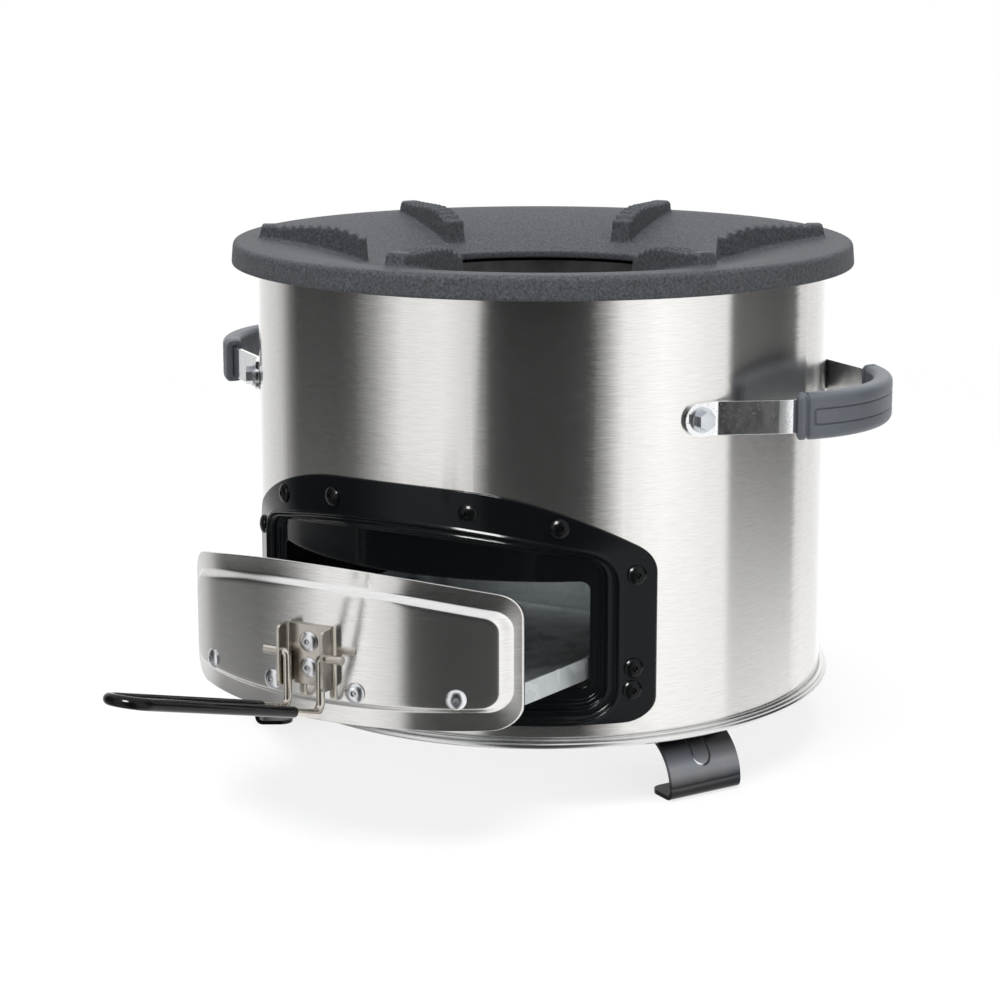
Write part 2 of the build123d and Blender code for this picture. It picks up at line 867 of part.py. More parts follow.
def handle_strap(side):
    """A carrying strap with rounded ends, bolted to the drum's side."""
    route, bends = strap_route()
    section = sheet_section(route, bends, strap_thick)
    strap = Pos(0, 0, handle_height - strap_wide / 2) * extrude(section, strap_wide)
    corners = strap.edges().filter_by(GeomType.LINE).sort_by(SortBy.LENGTH)[:4]
    strap = fillet(corners, strap_wide / 2 * strap_end_share)
    for angle in (handle_bolt_angle, 180 - handle_bolt_angle):
        strap -= outwards(angle, drum_radius, handle_height) * Cylinder(bolt_radius, 2 * overrun)
    return strap if side > 0 else mirror(strap, Plane.YZ)


def arc_bar(section, half_angle):
    """A section drawn in radius and height, swept about Z from minus to plus the angle."""
    bar = revolve(Plane.XZ * section, Axis.Z, revolution_arc=2 * half_angle)
    return Rot(0, 0, -half_angle) * bar


def handle_grip(side):
    """The moulded grip: rounded bar, end collars, grooves and a sunk panel outside."""
    arc_radius, arc_half = strap_arc()
    grip_half_angle = arc_half - grip_end_gap
    panel_half_angle = grip_half_angle - collar_angle - grip_groove_angle - grip_panel_gap
    middle = arc_radius + grip_out
    outer = middle + grip_thick / 2
    bar = RectangleRounded(grip_thick, grip_tall, grip_round)
    collar = RectangleRounded(grip_thick + 2 * collar_proud, grip_tall + 2 * collar_proud, grip_round)
    neck = Rectangle(grip_thick + overrun, grip_tall + overrun) - RectangleRounded(
        grip_thick - 2 * grip_groove_deep, grip_tall - 2 * grip_groove_deep, grip_round - grip_groove_deep
    )
    grip = arc_bar(Pos(middle, 0) * bar, grip_half_angle)
    band = Rot(0, 0, collar_angle / 2) * arc_bar(Pos(middle, 0) * collar, collar_angle / 2)
    gully = arc_bar(Pos(middle, 0) * neck, grip_groove_angle / 2)
    for end in (0, 1):
        turn = Rot(0, 0, -grip_half_angle) if end == 0 else Rot(0, 0, grip_half_angle - collar_angle)
        grip += turn * band
    for end in (-1, 1):
        grip -= Rot(0, 0, end * (grip_half_angle - collar_angle - grip_groove_angle / 2)) * gully
    panel = Pos(outer, 0) * Rectangle(2 * grip_panel_deep, grip_panel_tall)
    grip -= arc_bar(panel, panel_half_angle)
    slot = Pos(arc_radius, 0) * Rectangle(strap_thick, strap_wide)
    grip -= arc_bar(slot, grip_half_angle + collar_angle)
    grip = Pos(handle_apex - arc_radius, 0, handle_height) * grip
    return grip if side > 0 else mirror(grip, Plane.YZ)


def handle_bolts():
    """Flanged hex bolts, heads outside, tips inside the drum."""
    grip = strap_thick + drum_sheet + washer_thick + nut_thick
    length = grip + bolt_tip + drum_radius - drum_inner
    up = (Align.CENTER, Align.CENTER, Align.MIN)
    down = (Align.CENTER, Align.CENTER, Align.MAX)
    bolt = Cylinder(bolt_flange_radius, bolt_flange, align=up) + Cylinder(bolt_radius, length, align=down)
    hexagon = extrude(RegularPolygon(bolt_flat, 6, major_radius=False), bolt_head)
    bolt += Pos(0, 0, bolt_flange) * hexagon
    return [outwards(angle, drum_radius + strap_thick, handle_height) * bolt for angle in handle_bolts_at()]


def washer_seat():
    """Where a flat washer meets the drum's curved inside."""
    return sqrt(drum_inner**2 - washer_radius**2)


def handle_washers():
    """Washers under the nuts, inside the drum."""
    down = (Align.CENTER, Align.CENTER, Align.MAX)
    plain = Cylinder(washer_radius, washer_thick, align=down) - Cylinder(bolt_radius, 2 * overrun)
    return [outwards(angle, washer_seat(), handle_height) * plain for angle in handle_bolts_at()]


def handle_nuts():
    """Hex nuts inside the drum."""
    nut = extrude(RegularPolygon(nut_flat, 6, major_radius=False) - Circle(bolt_radius), -nut_thick)
    return [outwards(angle, washer_seat() - washer_thick, handle_height) * nut for angle in handle_bolts_at()]


def foot(angle):
    """A sprung C-shaped foot with a lanced tongue and a screw hole."""
    middle = foot_sheet / 2
    outer = foot_reach - middle
    line = [
        (foot_top_inner, foot_height - middle),
        (outer, foot_height - middle),
        (outer, middle),
        (foot_base_inner, middle),
    ]
    section = sheet_section(line, [foot_bow, foot_toe_bend], foot_sheet)
    strip = extrude(Plane.XZ * section, foot_wide / 2, both=True)
    corner_limit = foot_hole_circle - foot_corner
    corners = strip.edges().filter_by(Axis.Z).filter_by(lambda edge: edge.center().X < corner_limit)
    strip = fillet(corners, foot_corner)
    slot_half = tongue_half + tongue_slot
    slot_top = foot_height - foot_sheet
    centre = tongue_bottom + tongue_half
    tall = slot_top - centre

    def tongue(half):
        return Pos(0, centre + tall / 2) * Rectangle(2 * half, tall) + Pos(0, centre) * Circle(half)

    lance = tongue(slot_half) - tongue(tongue_half)
    strip -= Pos(foot_reach - tongue_deep, 0, 0) * extrude(Plane.YZ * lance, foot_reach)
    strip -= Pos(foot_hole_circle, 0, middle) * Cylinder(foot_hole_radius, 2 * foot_sheet)
    for side in (-1, 1):
        place = Pos(foot_rivet_circle, side * foot_rivet_spread, foot_height)
        strip -= place * Cylinder(flat_rivet_shank, 2 * overrun)
    return at_angle(angle) * strip


def flat_rivet(grip):
    """A solid rivet with a flat head below and a set end above, from height zero up."""
    shank = Cylinder(flat_rivet_shank, grip, align=(Align.CENTER, Align.CENTER, Align.MIN))
    head = Cylinder(flat_rivet_head, flat_rivet_tall, align=(Align.CENTER, Align.CENTER, Align.MAX))
    set_end = Cylinder(flat_rivet_head, flat_rivet_tall, align=(Align.CENTER, Align.CENTER, Align.MIN))
    return head + shank + Pos(0, 0, grip) * set_end


def foot_rivets():
    """Two rivets for each foot."""
    rivet = flat_rivet(foot_sheet + pan_sheet)
    return [Pos(x, y, foot_height - foot_sheet) * rivet for x, y in foot_rivets_at()]


def runner_rivets():
    """Two rivets for each runner."""
    rivet = flat_rivet(pan_sheet + runner_sheet)
    return [Pos(x, y, foot_height) * rivet for x, y in runner_rivets_at()]


def drawer_runner(side):
    """A folded rail: ledge, side guide and two legs with feet."""
    ledge_top = tray_bottom - runner_gap
    ledge_low = ledge_top - runner_sheet
    inner = tray_half + runner_side_gap
    outer = inner + runner_sheet
    rail = make_face(
        Polyline(
            (outer - runner_ledge, ledge_low),
            (outer, ledge_low),
            (outer, ledge_top + runner_guide),
            (inner, ledge_top + runner_guide),
            (inner, ledge_top),
            (outer - runner_ledge, ledge_top),
            close=True,
        ).edges()
    )
    leg = make_face(
        Polyline(
            (inner, ledge_low),
            (inner, pan_top),
            (outer + runner_foot, pan_top),
            (outer + runner_foot, pan_top + runner_sheet),
            (outer, pan_top + runner_sheet),
            (outer, ledge_low),
            close=True,
        ).edges()
    )
    runner = Pos(0, runner_back, 0) * extrude(Plane.XZ * rail, runner_back - runner_front)
    for start in runner_legs_at():
        runner += Pos(0, start + runner_leg_long, 0) * extrude(Plane.XZ * leg, runner_leg_long)
    for x, y in runner_rivets_at():
        runner -= Pos(x, y, pan_top) * Cylinder(flat_rivet_shank, 2 * overrun)
    return runner if side > 0 else mirror(runner, Plane.YZ)


def write(name, shapes):
    """One file for each named piece, or for a group of like ones."""
    solids = shapes if isinstance(shapes, list) else [shapes]
    bodies = [solid for shape in solids for solid in shape.solids()]
    export_step(bodies[0] if len(bodies) == 1 else Compound(children=bodies), f"parts/{name}.step")


os.makedirs("parts", exist_ok=True)
write("outer_shell", outer_shell())
write("base_pan", base_pan())
write("cast_top", cast_top())
write("top_ring", top_ring())
write("combustion_liner", combustion_liner())
write("charcoal_grate", charcoal_grate())
write("heat_shield", heat_shield())
write("insulation_ring", insulation_ring())
write("door_frame", door_frame())
write("door_frame_rivets", door_frame_rivets())
write("drawer_front", drawer_front())
write("ash_tray", ash_tray())
write("drawer_front_rivets", drawer_front_rivets())
write("pull_bracket", pull_bracket())
write("pull_bracket_rivets", pull_bracket_rivets())
write("pull_wire", pull_wire())
write("pull_sleeve", pull_sleeve())
for hand, side in (("right", 1), ("left", -1)):
    write(f"handle_strap_{hand}", handle_strap(side))
    write(f"handle_grip_{hand}", handle_grip(side))
    write(f"drawer_runner_{hand}", drawer_runner(side))
write("handle_bolts", handle_bolts())
write("handle_washers", handle_washers())
write("handle_nuts", handle_nuts())
for place, angle in zip(("front_right", "front_left", "rear"), foot_angles):
    write(f"foot_{place}", foot(angle))
write("foot_rivets", foot_rivets())
write("runner_rivets", runner_rivets())
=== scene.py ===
from math import asin, atan2, cos, pi, radians, sin, sqrt

import bmesh
import bpy
from mathutils import Matrix, Vector


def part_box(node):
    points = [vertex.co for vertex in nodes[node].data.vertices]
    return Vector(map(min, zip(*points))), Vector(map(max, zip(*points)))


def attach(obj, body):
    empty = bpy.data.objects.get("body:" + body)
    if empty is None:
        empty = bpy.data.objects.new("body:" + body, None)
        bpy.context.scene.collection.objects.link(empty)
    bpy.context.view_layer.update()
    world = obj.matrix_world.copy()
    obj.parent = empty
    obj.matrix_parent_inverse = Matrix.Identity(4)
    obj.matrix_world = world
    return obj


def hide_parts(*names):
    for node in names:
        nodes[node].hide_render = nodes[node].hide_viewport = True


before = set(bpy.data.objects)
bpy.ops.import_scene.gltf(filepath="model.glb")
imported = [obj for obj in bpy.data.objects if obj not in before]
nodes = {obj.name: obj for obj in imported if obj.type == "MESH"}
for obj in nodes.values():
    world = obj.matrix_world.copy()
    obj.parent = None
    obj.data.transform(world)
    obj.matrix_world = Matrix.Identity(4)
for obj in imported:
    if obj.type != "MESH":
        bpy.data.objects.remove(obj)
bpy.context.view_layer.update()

# Mesh points are worked out in millimetres and turned to metres when a piece is made
MM = 0.001

# Sizes read from the frame, in millimetres
frame_low, frame_high = (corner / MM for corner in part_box("door_frame"))
front_low, front_high = (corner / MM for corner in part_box("drawer_front"))
grip_low, grip_high = (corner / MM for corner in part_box("handle_grip_right"))
bracket_low, bracket_high = (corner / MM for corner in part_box("pull_bracket"))
drum_radius = (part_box("outer_shell")[1] / MM).x
pan_under = (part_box("base_pan")[0] / MM).z
front_half = front_high.x

# Lengths that the boxes don't give, in millimetres too. First the frame's flange and its outline
FRAME_SHEET = 1.0
FRAME_EDGE_ROUND = 0.4
CROWN_HALF = 35.1
CROWN_RADIUS = 616.0
SHOULDER_RADIUS = 125.0
FLANGE_HIGH_CORNER = 17.0
FLANGE_LOW_CORNER = 11.0
FLANGE_RUN = 0.45

# The frame's stepped pocket round the drawer front, its steps, and its mouth
POCKET_DEPTH = 6.0
POCKET_STEPS = 3
POCKET_SIDE_GAP = 1.8
POCKET_UNDER = 6.7
POCKET_CROWN_DROP = 0.8
POCKET_ARCH = 430.0
POCKET_CORNER = 8.5
CORNER_STEP = 2.5
STEP_SIDE = 3.6
STEP_UNDER = 3.4
STEP_OVER = 2.3
STEP_ARCH = 45.0
STEP_SOFT = 1.1
SHOULDER_SOFT = 3.4
LIP_SLOPE = 0.13
LIP_SHARE = 0.7
MOUTH_SIDE_INSET = 3.0
MOUTH_UNDER = 0.7
MOUTH_HEIGHT = 51.5
MOUTH_CORNER = 4.0
MOUTH_RUN = 1.5
FLAT_ARCH = 100000.0

# The drawer front and its raised panel
FRONT_RADIUS = 135.0
FRONT_SHEET = 1.0
FRONT_EDGE_ROUND = 0.3
FRONT_ARCH = 333.0
FRONT_CORNER = 11.5
PANEL_RAISE = 3.0
PANEL_INSET = 5.2
PANEL_INSET_HIGH = 9.0
PANEL_INSET_LOW = 10.0
PANEL_CORNER = 8.0
PANEL_SOFT = 2.0
PANEL_RUN = 1.5
EDGE_RUN = 0.6

# The grips, the slots for the strap in their ends, and the grooves beside their end collars
GRIP_THICK = 9.6
GRIP_TALL = 22.0
GRIP_ROUND = 3.2
GRIP_RADIUS = 64.6
GRIP_HALF_ANGLE = radians(46.8)
GRIP_SLANT = 0.02
SLANT_POWER = 7
STRAP_OFFSET = -0.6
SLOT_THICK = 2.4
SLOT_TALL = 16.6
SLOT_DEEP = 2.0
COLLAR_LONG = 3.4
GROOVE_LONG = 1.3
GROOVE_DEEP = 1.0

# A groove's wall as (distance out of the groove, depth), and a grip's end as (distance from it, draft)
GROOVE_WALL = [(0.5, 0), (0.1, 0.2), (0, 0.5), (-0.15, GROOVE_DEEP)]
GRIP_END = [(1.3, 0), (0.6, 0.2), (0.15, 0.7), (0, 1.4)]

# The line cut round a grip's outer face, and the heights of that face's points, closest round the line
INCISION_HALF_LONG = radians(40.4) * GRIP_RADIUS
INCISION_HALF_TALL = 3.7
INCISION_CORNER = 1.5
INCISION_DEEP = 1.0
INCISION_HALF_WIDE = 0.6
FACE_HEIGHTS = [0, 1.0, 1.7, 2.2, 2.6, 2.9, 3.15, 3.42, 3.7, 3.98, 4.25, 4.6, 5.6]

# The bottom sheet's edge as (distance out of the drum's side, height over the sheet's underside):
# the roll over the drum's flange, its seam, and the thin fold above
PAN_THICK = 1.0
PAN_ROLL = [
    (2.2, 0),
    (2.97, 0.15),
    (3.61, 0.59),
    (4.05, 1.23),
    (4.2, 2.0),
    (4.1, 2.6),
    (3.8, 3.1),
    (3.3, 3.4),
]
PAN_SEAM = [(2.7, 3.55), (1.9, 3.6), (2.4, 3.75), (2.75, 4.0)]
PAN_FOLD = [(2.8, 4.35), (2.5, 4.65), (2.0, 4.8), (1.2, 4.8), (0.02, 4.7), (0.02, PAN_THICK)]
PAN_FLAT = 100.0
PAN_SIDES = 256

# Blind rivets, and what is left of a mandrel as (radius, rise over the floor of the rivet's eye)
RIVET_PROUD = 1.9
RIVET_EYE_DEEP = 1.3
MANDREL_SHAPE = [(0.9, -0.2), (0.9, 0.55), (0.8, 0.75), (0.5, 0.86), (0.2, 0.88)]
MANDREL_SIDES = 20

# Places of the rivets as (share of the half width, share of the height), on the bracket of its height alone
FRAME_RIVETS = [(0.294, 0.899), (0.628, 0.845), (0.916, 0.635), (0.906, 0.236), (0.902, 0.141)]
FRONT_RIVETS = [(0.691, 0.217), (0.224, 0.225)]
BRACKET_RIVETS = [0.293, 0.725]
BRACKET_FACE = -217.9

# The casting's softened edges: the remesh's cell in metres, and the rounds and strength of smoothing
CAST_GRID = 0.0007
CAST_ROUNDS = 2
CAST_SMOOTHING = 0.5

# How many steps a stretch of mesh gets, on outlines, soft steps, and the corners and the length of a grip
ACROSS_STEPS = 26
SIDE_STEPS = 8
CORNER_STEPS = 8
SOFT_STEPS = 16
GRIP_CORNER_STEPS = 6
GRIP_MIDDLE_STEPS = 14
GRIP_FINE_STEPS = 10
GRIP_FINE_START = 3
GRIP_FINE_LONG = 0.4
INNER_FACE_STRIDE = 4


# Camera and studio


def camera_axes(azimuth, pitch, roll):
    """The camera's right, up and back directions, from angles in radians."""
    back = Vector((sin(azimuth) * cos(pitch), -cos(azimuth) * cos(pitch), sin(pitch)))
    right = Vector((cos(azimuth), sin(azimuth), 0))
    up = back.cross(right)
    return right * cos(roll) + up * sin(roll), up * cos(roll) - right * sin(roll), back


def make_camera():
    """The photograph's viewpoint, found from the object's own sizes."""
    place = Vector((0.55980, -1.04505, 0.38633))
    azimuth = radians(28.7297)
    pitch = 0.1824
    roll = 0.0012
    data = bpy.data.cameras.new("photo_camera")
    data.lens = 83.907
    data.sensor_width = 36
    data.shift_x = -0.02
    data.shift_y = -0.10
    camera = bpy.data.objects.new("photo_camera", data)
    right, up, back = camera_axes(azimuth, pitch, roll)
    camera.matrix_world = Matrix.Translation(place) @ Matrix((right, up, back)).transposed().to_4x4()
    bpy.context.scene.collection.objects.link(camera)
    bpy.context.scene.camera = camera


def area_light(name, place, target, size, power, mirrored=False):
    """A soft lamp, which metal mirrors only if it is told to."""
    data = bpy.data.lights.new(name, "AREA")
    data.shape = "SQUARE"
    data.size = size
    data.energy = power
    lamp = bpy.data.objects.new(name, data)
    lamp.location = place
    lamp.rotation_mode = "QUATERNION"
    lamp.rotation_quaternion = (Vector(target) - Vector(place)).to_track_quat("-Z", "Y")
    lamp.visible_glossy = mirrored
    lamp.visible_camera = False
    bpy.context.scene.collection.objects.link(lamp)
    return lamp


# Brightness of the studio around the stove, by direction in degrees from -Y towards +X
STUDIO_BANDS = [
    (-180, 0.80),
    (-163, 0.96),
    (-141, 0.89),
    (-129, 0.72),
    (-105, 0.55),
    (-98, 0.40),
    (-92, 0.14),
    (-86, 0.035),
    (-60, 0.03),
    (-51, 0.05),
    (-41, 0.26),
    (-34, 0.52),
    (-28, 0.74),
    (-11, 0.80),
    (-4, 0.70),
    (3, 0.58),
    (6.5, 0.035),
    (15, 0.018),
    (34, 0.018),
    (47, 0.03),
    (53, 0.30),
    (60, 0.84),
    (76, 1.00),
    (98, 0.80),
    (105.5, 0.75),
    (108, 0.035),
    (136, 0.025),
    (148, 0.08),
    (152, 0.62),
    (172, 0.72),
    (180, 0.80),
]

# The same directions near the floor, where the dark panels end and the table shows
LOW_BANDS = [
    (-180, 0.80),
    (-163, 0.96),
    (-141, 0.89),
    (-105, 0.60),
    (-92, 0.30),
    (-60, 0.20),
    (-48, 0.30),
    (-30, 0.70),
    (-11, 0.78),
    (2, 0.58),
    (8, 0.08),
    (20, 0.05),
    (44, 0.055),
    (55, 0.40),
    (62, 0.78),
    (76, 0.88),
    (109, 0.88),
    (113, 0.88),
    (147, 0.92),
    (156, 0.92),
    (180, 0.80),
]

# Z of the mirrored directions, from -1 to 1, where the low bands take over and where the ceiling starts
LOW_BAND_FADE = (-0.20, -0.31)
CEILING_FADE = (0.45, 0.75)
CEILING_COLOR = (0.80, 0.81, 0.83)

# Strength of the studio in mirrors, and of the even light on matt surfaces
MIRROR_STRENGTH = 1.28
EVEN_STRENGTH = 0.46
EVEN_COLOR = (0.98, 0.99, 1.0)

# The floor's half width, the distances over which its shadow fades out, and its tones
FLOOR_REACH = 6.0
FLOOR_FADE = (0.25, 1.3)
FLOOR_MATT = 0.30
FLOOR_GLOW = 0.74
FLOOR_BOUNCE = 0.75

# Soft lamps as (name, place, target, size in metres, power in watts)
LAMPS = [
    ("overhead", (0.1, -0.3, 1.6), (0, 0, 0.1), 1.2, 22.0),
    ("front_left", (-1.3, -1.5, 0.9), (0, -0.05, 0.15), 1.2, 6.0),
    ("front_right", (1.5, -1.2, 0.8), (0, 0, 0.15), 1.2, 4.0),
]
GLOSS_LAMP = ("gloss_light", (0.2, -1.3, 0.95), (0, -0.1, 0.1), 0.5, 60.0)


def add(tree, kind, inputs=None, **settings):
    """A shader node, with its settings, and its inputs set or linked by name or number."""
    node = tree.nodes.new(kind)
    for setting, value in settings.items():
        setattr(node, setting, value)
    for socket, value in (inputs or {}).items():
        if isinstance(value, bpy.types.NodeSocket):
            tree.links.new(value, node.inputs[socket])
        else:
            node.inputs[socket].default_value = value
    return node


def ramp_of(tree, value, stops):
    """A grey that follows a value through stops of (value from 0 to 1, brightness)."""
    ramp = add(tree, "ShaderNodeValToRGB", {"Fac": value})
    elements = ramp.color_ramp.elements
    elements[0].position, elements[1].position = stops[0][0], stops[-1][0]
    for place, _ in stops[1:-1]:
        elements.new(place)
    for element, (_, grey) in zip(elements, stops):
        element.color = (grey, grey, grey, 1)
    return ramp.outputs["Color"]


def eased(tree, value, start, end):
    """0 to 1 as a value goes from start to end, eased at both."""
    inputs = {"Value": value, "From Min": start, "From Max": end}
    return add(tree, "ShaderNodeMapRange", inputs, interpolation_type="SMOOTHSTEP").outputs["Result"]


def mixed(tree, factor, first, second, blend="MIX"):
    """A colour made of two colours, each given as three numbers or a socket."""
    sides = [(*side, 1) if isinstance(side, tuple) else side for side in (first, second)]
    inputs = {"Factor": factor, "A": sides[0], "B": sides[1]}
    return add(tree, "ShaderNodeMix", inputs, data_type="RGBA", blend_type=blend).outputs["Result"]


def by_ray(tree, ray, otherwise, then):
    """One shader for a kind of ray, and another for all others."""
    rays = add(tree, "ShaderNodeLightPath")
    return add(tree, "ShaderNodeMixShader", {"Fac": rays.outputs[ray], 1: otherwise, 2: then}).outputs[0]


def make_world():
    """White for the camera, even light on matt surfaces, light and dark bands for metal."""
    world = bpy.data.worlds.new("studio")
    bpy.context.scene.world = world
    world.use_nodes = True
    world.cycles.sampling_method = "NONE"
    tree = world.node_tree
    tree.nodes.clear()
    direction = add(tree, "ShaderNodeTexCoord").outputs["Generated"]
    x, y, z = add(tree, "ShaderNodeSeparateXYZ", {0: direction}).outputs
    forwards = add(tree, "ShaderNodeMath", {0: y, 1: -1}, operation="MULTIPLY").outputs[0]
    around = add(tree, "ShaderNodeMath", {0: x, 1: forwards}, operation="ARCTAN2").outputs[0]
    share = add(tree, "ShaderNodeMapRange", {"Value": around, "From Min": -pi, "From Max": pi})
    bands = [
        ramp_of(tree, share.outputs["Result"], [((angle + 180) / 360, grey) for angle, grey in stops])
        for stops in (STUDIO_BANDS, LOW_BANDS)
    ]
    walls = mixed(tree, eased(tree, z, *LOW_BAND_FADE), *bands)
    studio = mixed(tree, eased(tree, z, *CEILING_FADE), walls, CEILING_COLOR)
    even_light = {"Color": (*EVEN_COLOR, 1), "Strength": EVEN_STRENGTH}
    even = add(tree, "ShaderNodeBackground", even_light).outputs[0]
    mirror = add(tree, "ShaderNodeBackground", {"Color": studio, "Strength": MIRROR_STRENGTH}).outputs[0]
    white = add(tree, "ShaderNodeBackground", {"Color": (1, 1, 1, 1)}).outputs[0]
    unseen = by_ray(tree, "Is Glossy Ray", even, mirror)
    add(tree, "ShaderNodeOutputWorld", {"Surface": by_ray(tree, "Is Camera Ray", unseen, white)})


def gloss_light(pieces):
    """A high lamp in front that only the glossy black pieces mirror."""
    lamp = area_light(*GLOSS_LAMP, mirrored=True)
    lamp.visible_diffuse = False
    lit = bpy.data.collections.new("glossy_black_pieces")
    for piece in pieces:
        lit.objects.link(piece)
    lamp.light_linking.receiver_collection = lit


def matt_grey(tree, grey):
    """A diffuse shader of one grey."""
    return add(tree, "ShaderNodeBsdfDiffuse", {"Color": (grey, grey, grey, 1)}).outputs[0]


def make_floor():
    """A pale floor that keeps a faint shadow and isn't mirrored by the metal."""
    mesh = bpy.data.meshes.new("floor")
    corners = [(x * FLOOR_REACH, y * FLOOR_REACH, 0) for x, y in ((-1, -1), (1, -1), (1, 1), (-1, 1))]
    mesh.from_pydata(corners, [], [(0, 1, 2, 3)])
    floor = bpy.data.objects.new("floor", mesh)
    bpy.context.scene.collection.objects.link(floor)
    paint = bpy.data.materials.new("floor_paint")
    paint.use_nodes = True
    tree = paint.node_tree
    tree.nodes.clear()
    glow = add(tree, "ShaderNodeEmission", {"Strength": FLOOR_GLOW}).outputs[0]
    near = add(tree, "ShaderNodeAddShader", {0: matt_grey(tree, FLOOR_MATT), 1: glow}).outputs[0]
    far = add(tree, "ShaderNodeEmission").outputs[0]
    place = add(tree, "ShaderNodeTexCoord").outputs["Object"]
    distance = add(tree, "ShaderNodeVectorMath", {0: place}, operation="LENGTH").outputs["Value"]
    away = eased(tree, distance, *FLOOR_FADE)
    seen = add(tree, "ShaderNodeMixShader", {"Fac": away, 1: near, 2: far}).outputs[0]
    solid = by_ray(tree, "Is Camera Ray", matt_grey(tree, FLOOR_BOUNCE), seen)
    clear = add(tree, "ShaderNodeBsdfTransparent").outputs[0]
    add(tree, "ShaderNodeOutputMaterial", {"Surface": by_ray(tree, "Is Glossy Ray", solid, clear)})
    mesh.materials.append(paint)


# Materials. Texture scales are per metre, and relief is in metres


class Finish:
    """A Principled material. Constants go on its own sockets, and patterns are added by short calls."""

    def __init__(self, name, color, metallic=0.0, roughness=0.5, level=0.5, anisotropic=0.0):
        self.material = bpy.data.materials.new(name)
        self.material.use_nodes = True
        self.tree = self.material.node_tree
        self.shader = self.tree.nodes["Principled BSDF"]
        self.shader.inputs["Base Color"].default_value = (*color, 1)
        self.shader.inputs["Metallic"].default_value = metallic
        self.shader.inputs["Roughness"].default_value = roughness
        self.shader.inputs["Specular IOR Level"].default_value = level
        self.shader.inputs["Anisotropic"].default_value = anisotropic
        self.place = self.add("ShaderNodeTexCoord").outputs["Object"]

    def add(self, kind, inputs=None, **settings):
        return add(self.tree, kind, inputs, **settings)

    def link(self, value, socket):
        self.tree.links.new(value, self.shader.inputs[socket])

    def stretched(self, x, y, z):
        """Object coordinates in metres, scaled on each axis."""
        return self.add("ShaderNodeMapping", {"Vector": self.place, "Scale": (x, y, z)}).outputs[0]

    def noise(self, scale, detail=2.0, roughness=0.5, vector=None):
        inputs = {"Vector": vector or self.place, "Scale": scale, "Detail": detail, "Roughness": roughness}
        return self.add("ShaderNodeTexNoise", inputs).outputs["Fac"]

    def cells(self, scale):
        return self.add("ShaderNodeTexVoronoi", {"Vector": self.place, "Scale": scale}).outputs

    def spread(self, value, low, high, start=0.0, end=1.0):
        """Maps start..end of a value to low..high."""
        inputs = {"Value": value, "From Min": start, "From Max": end, "To Min": low, "To Max": high}
        return self.add("ShaderNodeMapRange", inputs).outputs["Result"]

    def times(self, first, second):
        return self.add("ShaderNodeMath", {0: first, 1: second}, operation="MULTIPLY").outputs[0]

    def plus(self, first, second):
        return self.add("ShaderNodeMath", {0: first, 1: second}, operation="ADD").outputs[0]

    def mixed(self, factor, first, second, blend="MIX"):
        return mixed(self.tree, factor, first, second, blend)

    def vector(self, operation, inputs):
        return self.add("ShaderNodeVectorMath", inputs, operation=operation).outputs[0]

    def bump(self, height, distance, strength, under=None):
        inputs = {"Height": height, "Distance": distance, "Strength": strength}
        if under is not None:
            inputs["Normal"] = under
        return self.add("ShaderNodeBump", inputs).outputs[0]

    def rounded(self, radius):
        """Normals that soften edges, as a light break of the edge does."""
        return self.add("ShaderNodeBevel", {"Radius": radius}, samples=4).outputs[0]


UPWARDS = (0.0, 0.0, 1.0)


def brushed(name, across):
    """Stainless sheet brushed round the drum: short level streaks that scatter light upwards."""
    finish = Finish(name, (0.80, 0.79, 0.77), metallic=1.0, anisotropic=0.9)
    streaks = finish.noise(1.0, 3.0, 0.6, finish.stretched(120, 120, 2800))
    hair = finish.noise(1.0, 2.0, 0.6, finish.stretched(240, 240, 6500))
    clouds = finish.noise(14.0)
    outwards = finish.add("ShaderNodeNewGeometry").outputs["Normal"]
    along = finish.vector("CROSS_PRODUCT", {0: UPWARDS, 1: outwards})
    coarse = finish.spread(streaks, -across, across, 0.2, 0.8)
    sway = finish.plus(coarse, finish.spread(hair, -across, across))
    push = finish.vector("SCALE", {0: along, "Scale": sway})
    leant = finish.vector("ADD", {0: finish.rounded(0.0004), 1: push})
    finish.link(finish.vector("NORMALIZE", {0: leant}), "Normal")
    tone = finish.spread(streaks, 0, 1, 0.25, 0.75)
    finish.link(finish.mixed(tone, (0.72, 0.71, 0.69), (0.84, 0.83, 0.81)), "Base Color")
    finish.link(finish.spread(hair, 1.0, 0.95, 0.35, 0.75), "Metallic")
    roughness = finish.plus(finish.spread(hair, 0.11, 0.21), finish.spread(clouds, -0.02, 0.02))
    finish.link(roughness, "Roughness")
    upright = dict(zip("XYZ", UPWARDS))
    finish.link(finish.add("ShaderNodeCombineXYZ", upright).outputs[0], "Tangent")
    return finish.material


def sand_cast(name, color, grain):
    """Cast iron: sand grain, shallow pits and worn specks."""
    finish = Finish(name, color, level=0.45)
    coarse = finish.noise(820.0 * grain, 4.0, 0.65)
    fine = finish.noise(2200.0 * grain, 3.0)
    patches = finish.noise(22.0, 3.0)
    pits = finish.cells(420.0 * grain)["Distance"]
    height = finish.plus(finish.times(coarse, 0.7), finish.times(fine, 0.3))
    height = finish.plus(height, finish.spread(pits, -0.25, 0.0, 0.0, 0.25))
    finish.link(finish.bump(height, 0.00036, 0.9, finish.rounded(0.0005)), "Normal")
    dark = tuple(channel * 0.40 for channel in color)
    light = tuple(channel * 2.0 for channel in color)
    tone = finish.mixed(finish.spread(coarse, 0, 1, 0.30, 0.72), dark, light)
    tone = finish.mixed(finish.spread(patches, 0, 0.25, 0.35, 0.7), tone, color)
    finish.link(tone, "Base Color")
    finish.link(finish.spread(fine, 0.52, 0.82), "Roughness")
    return finish.material


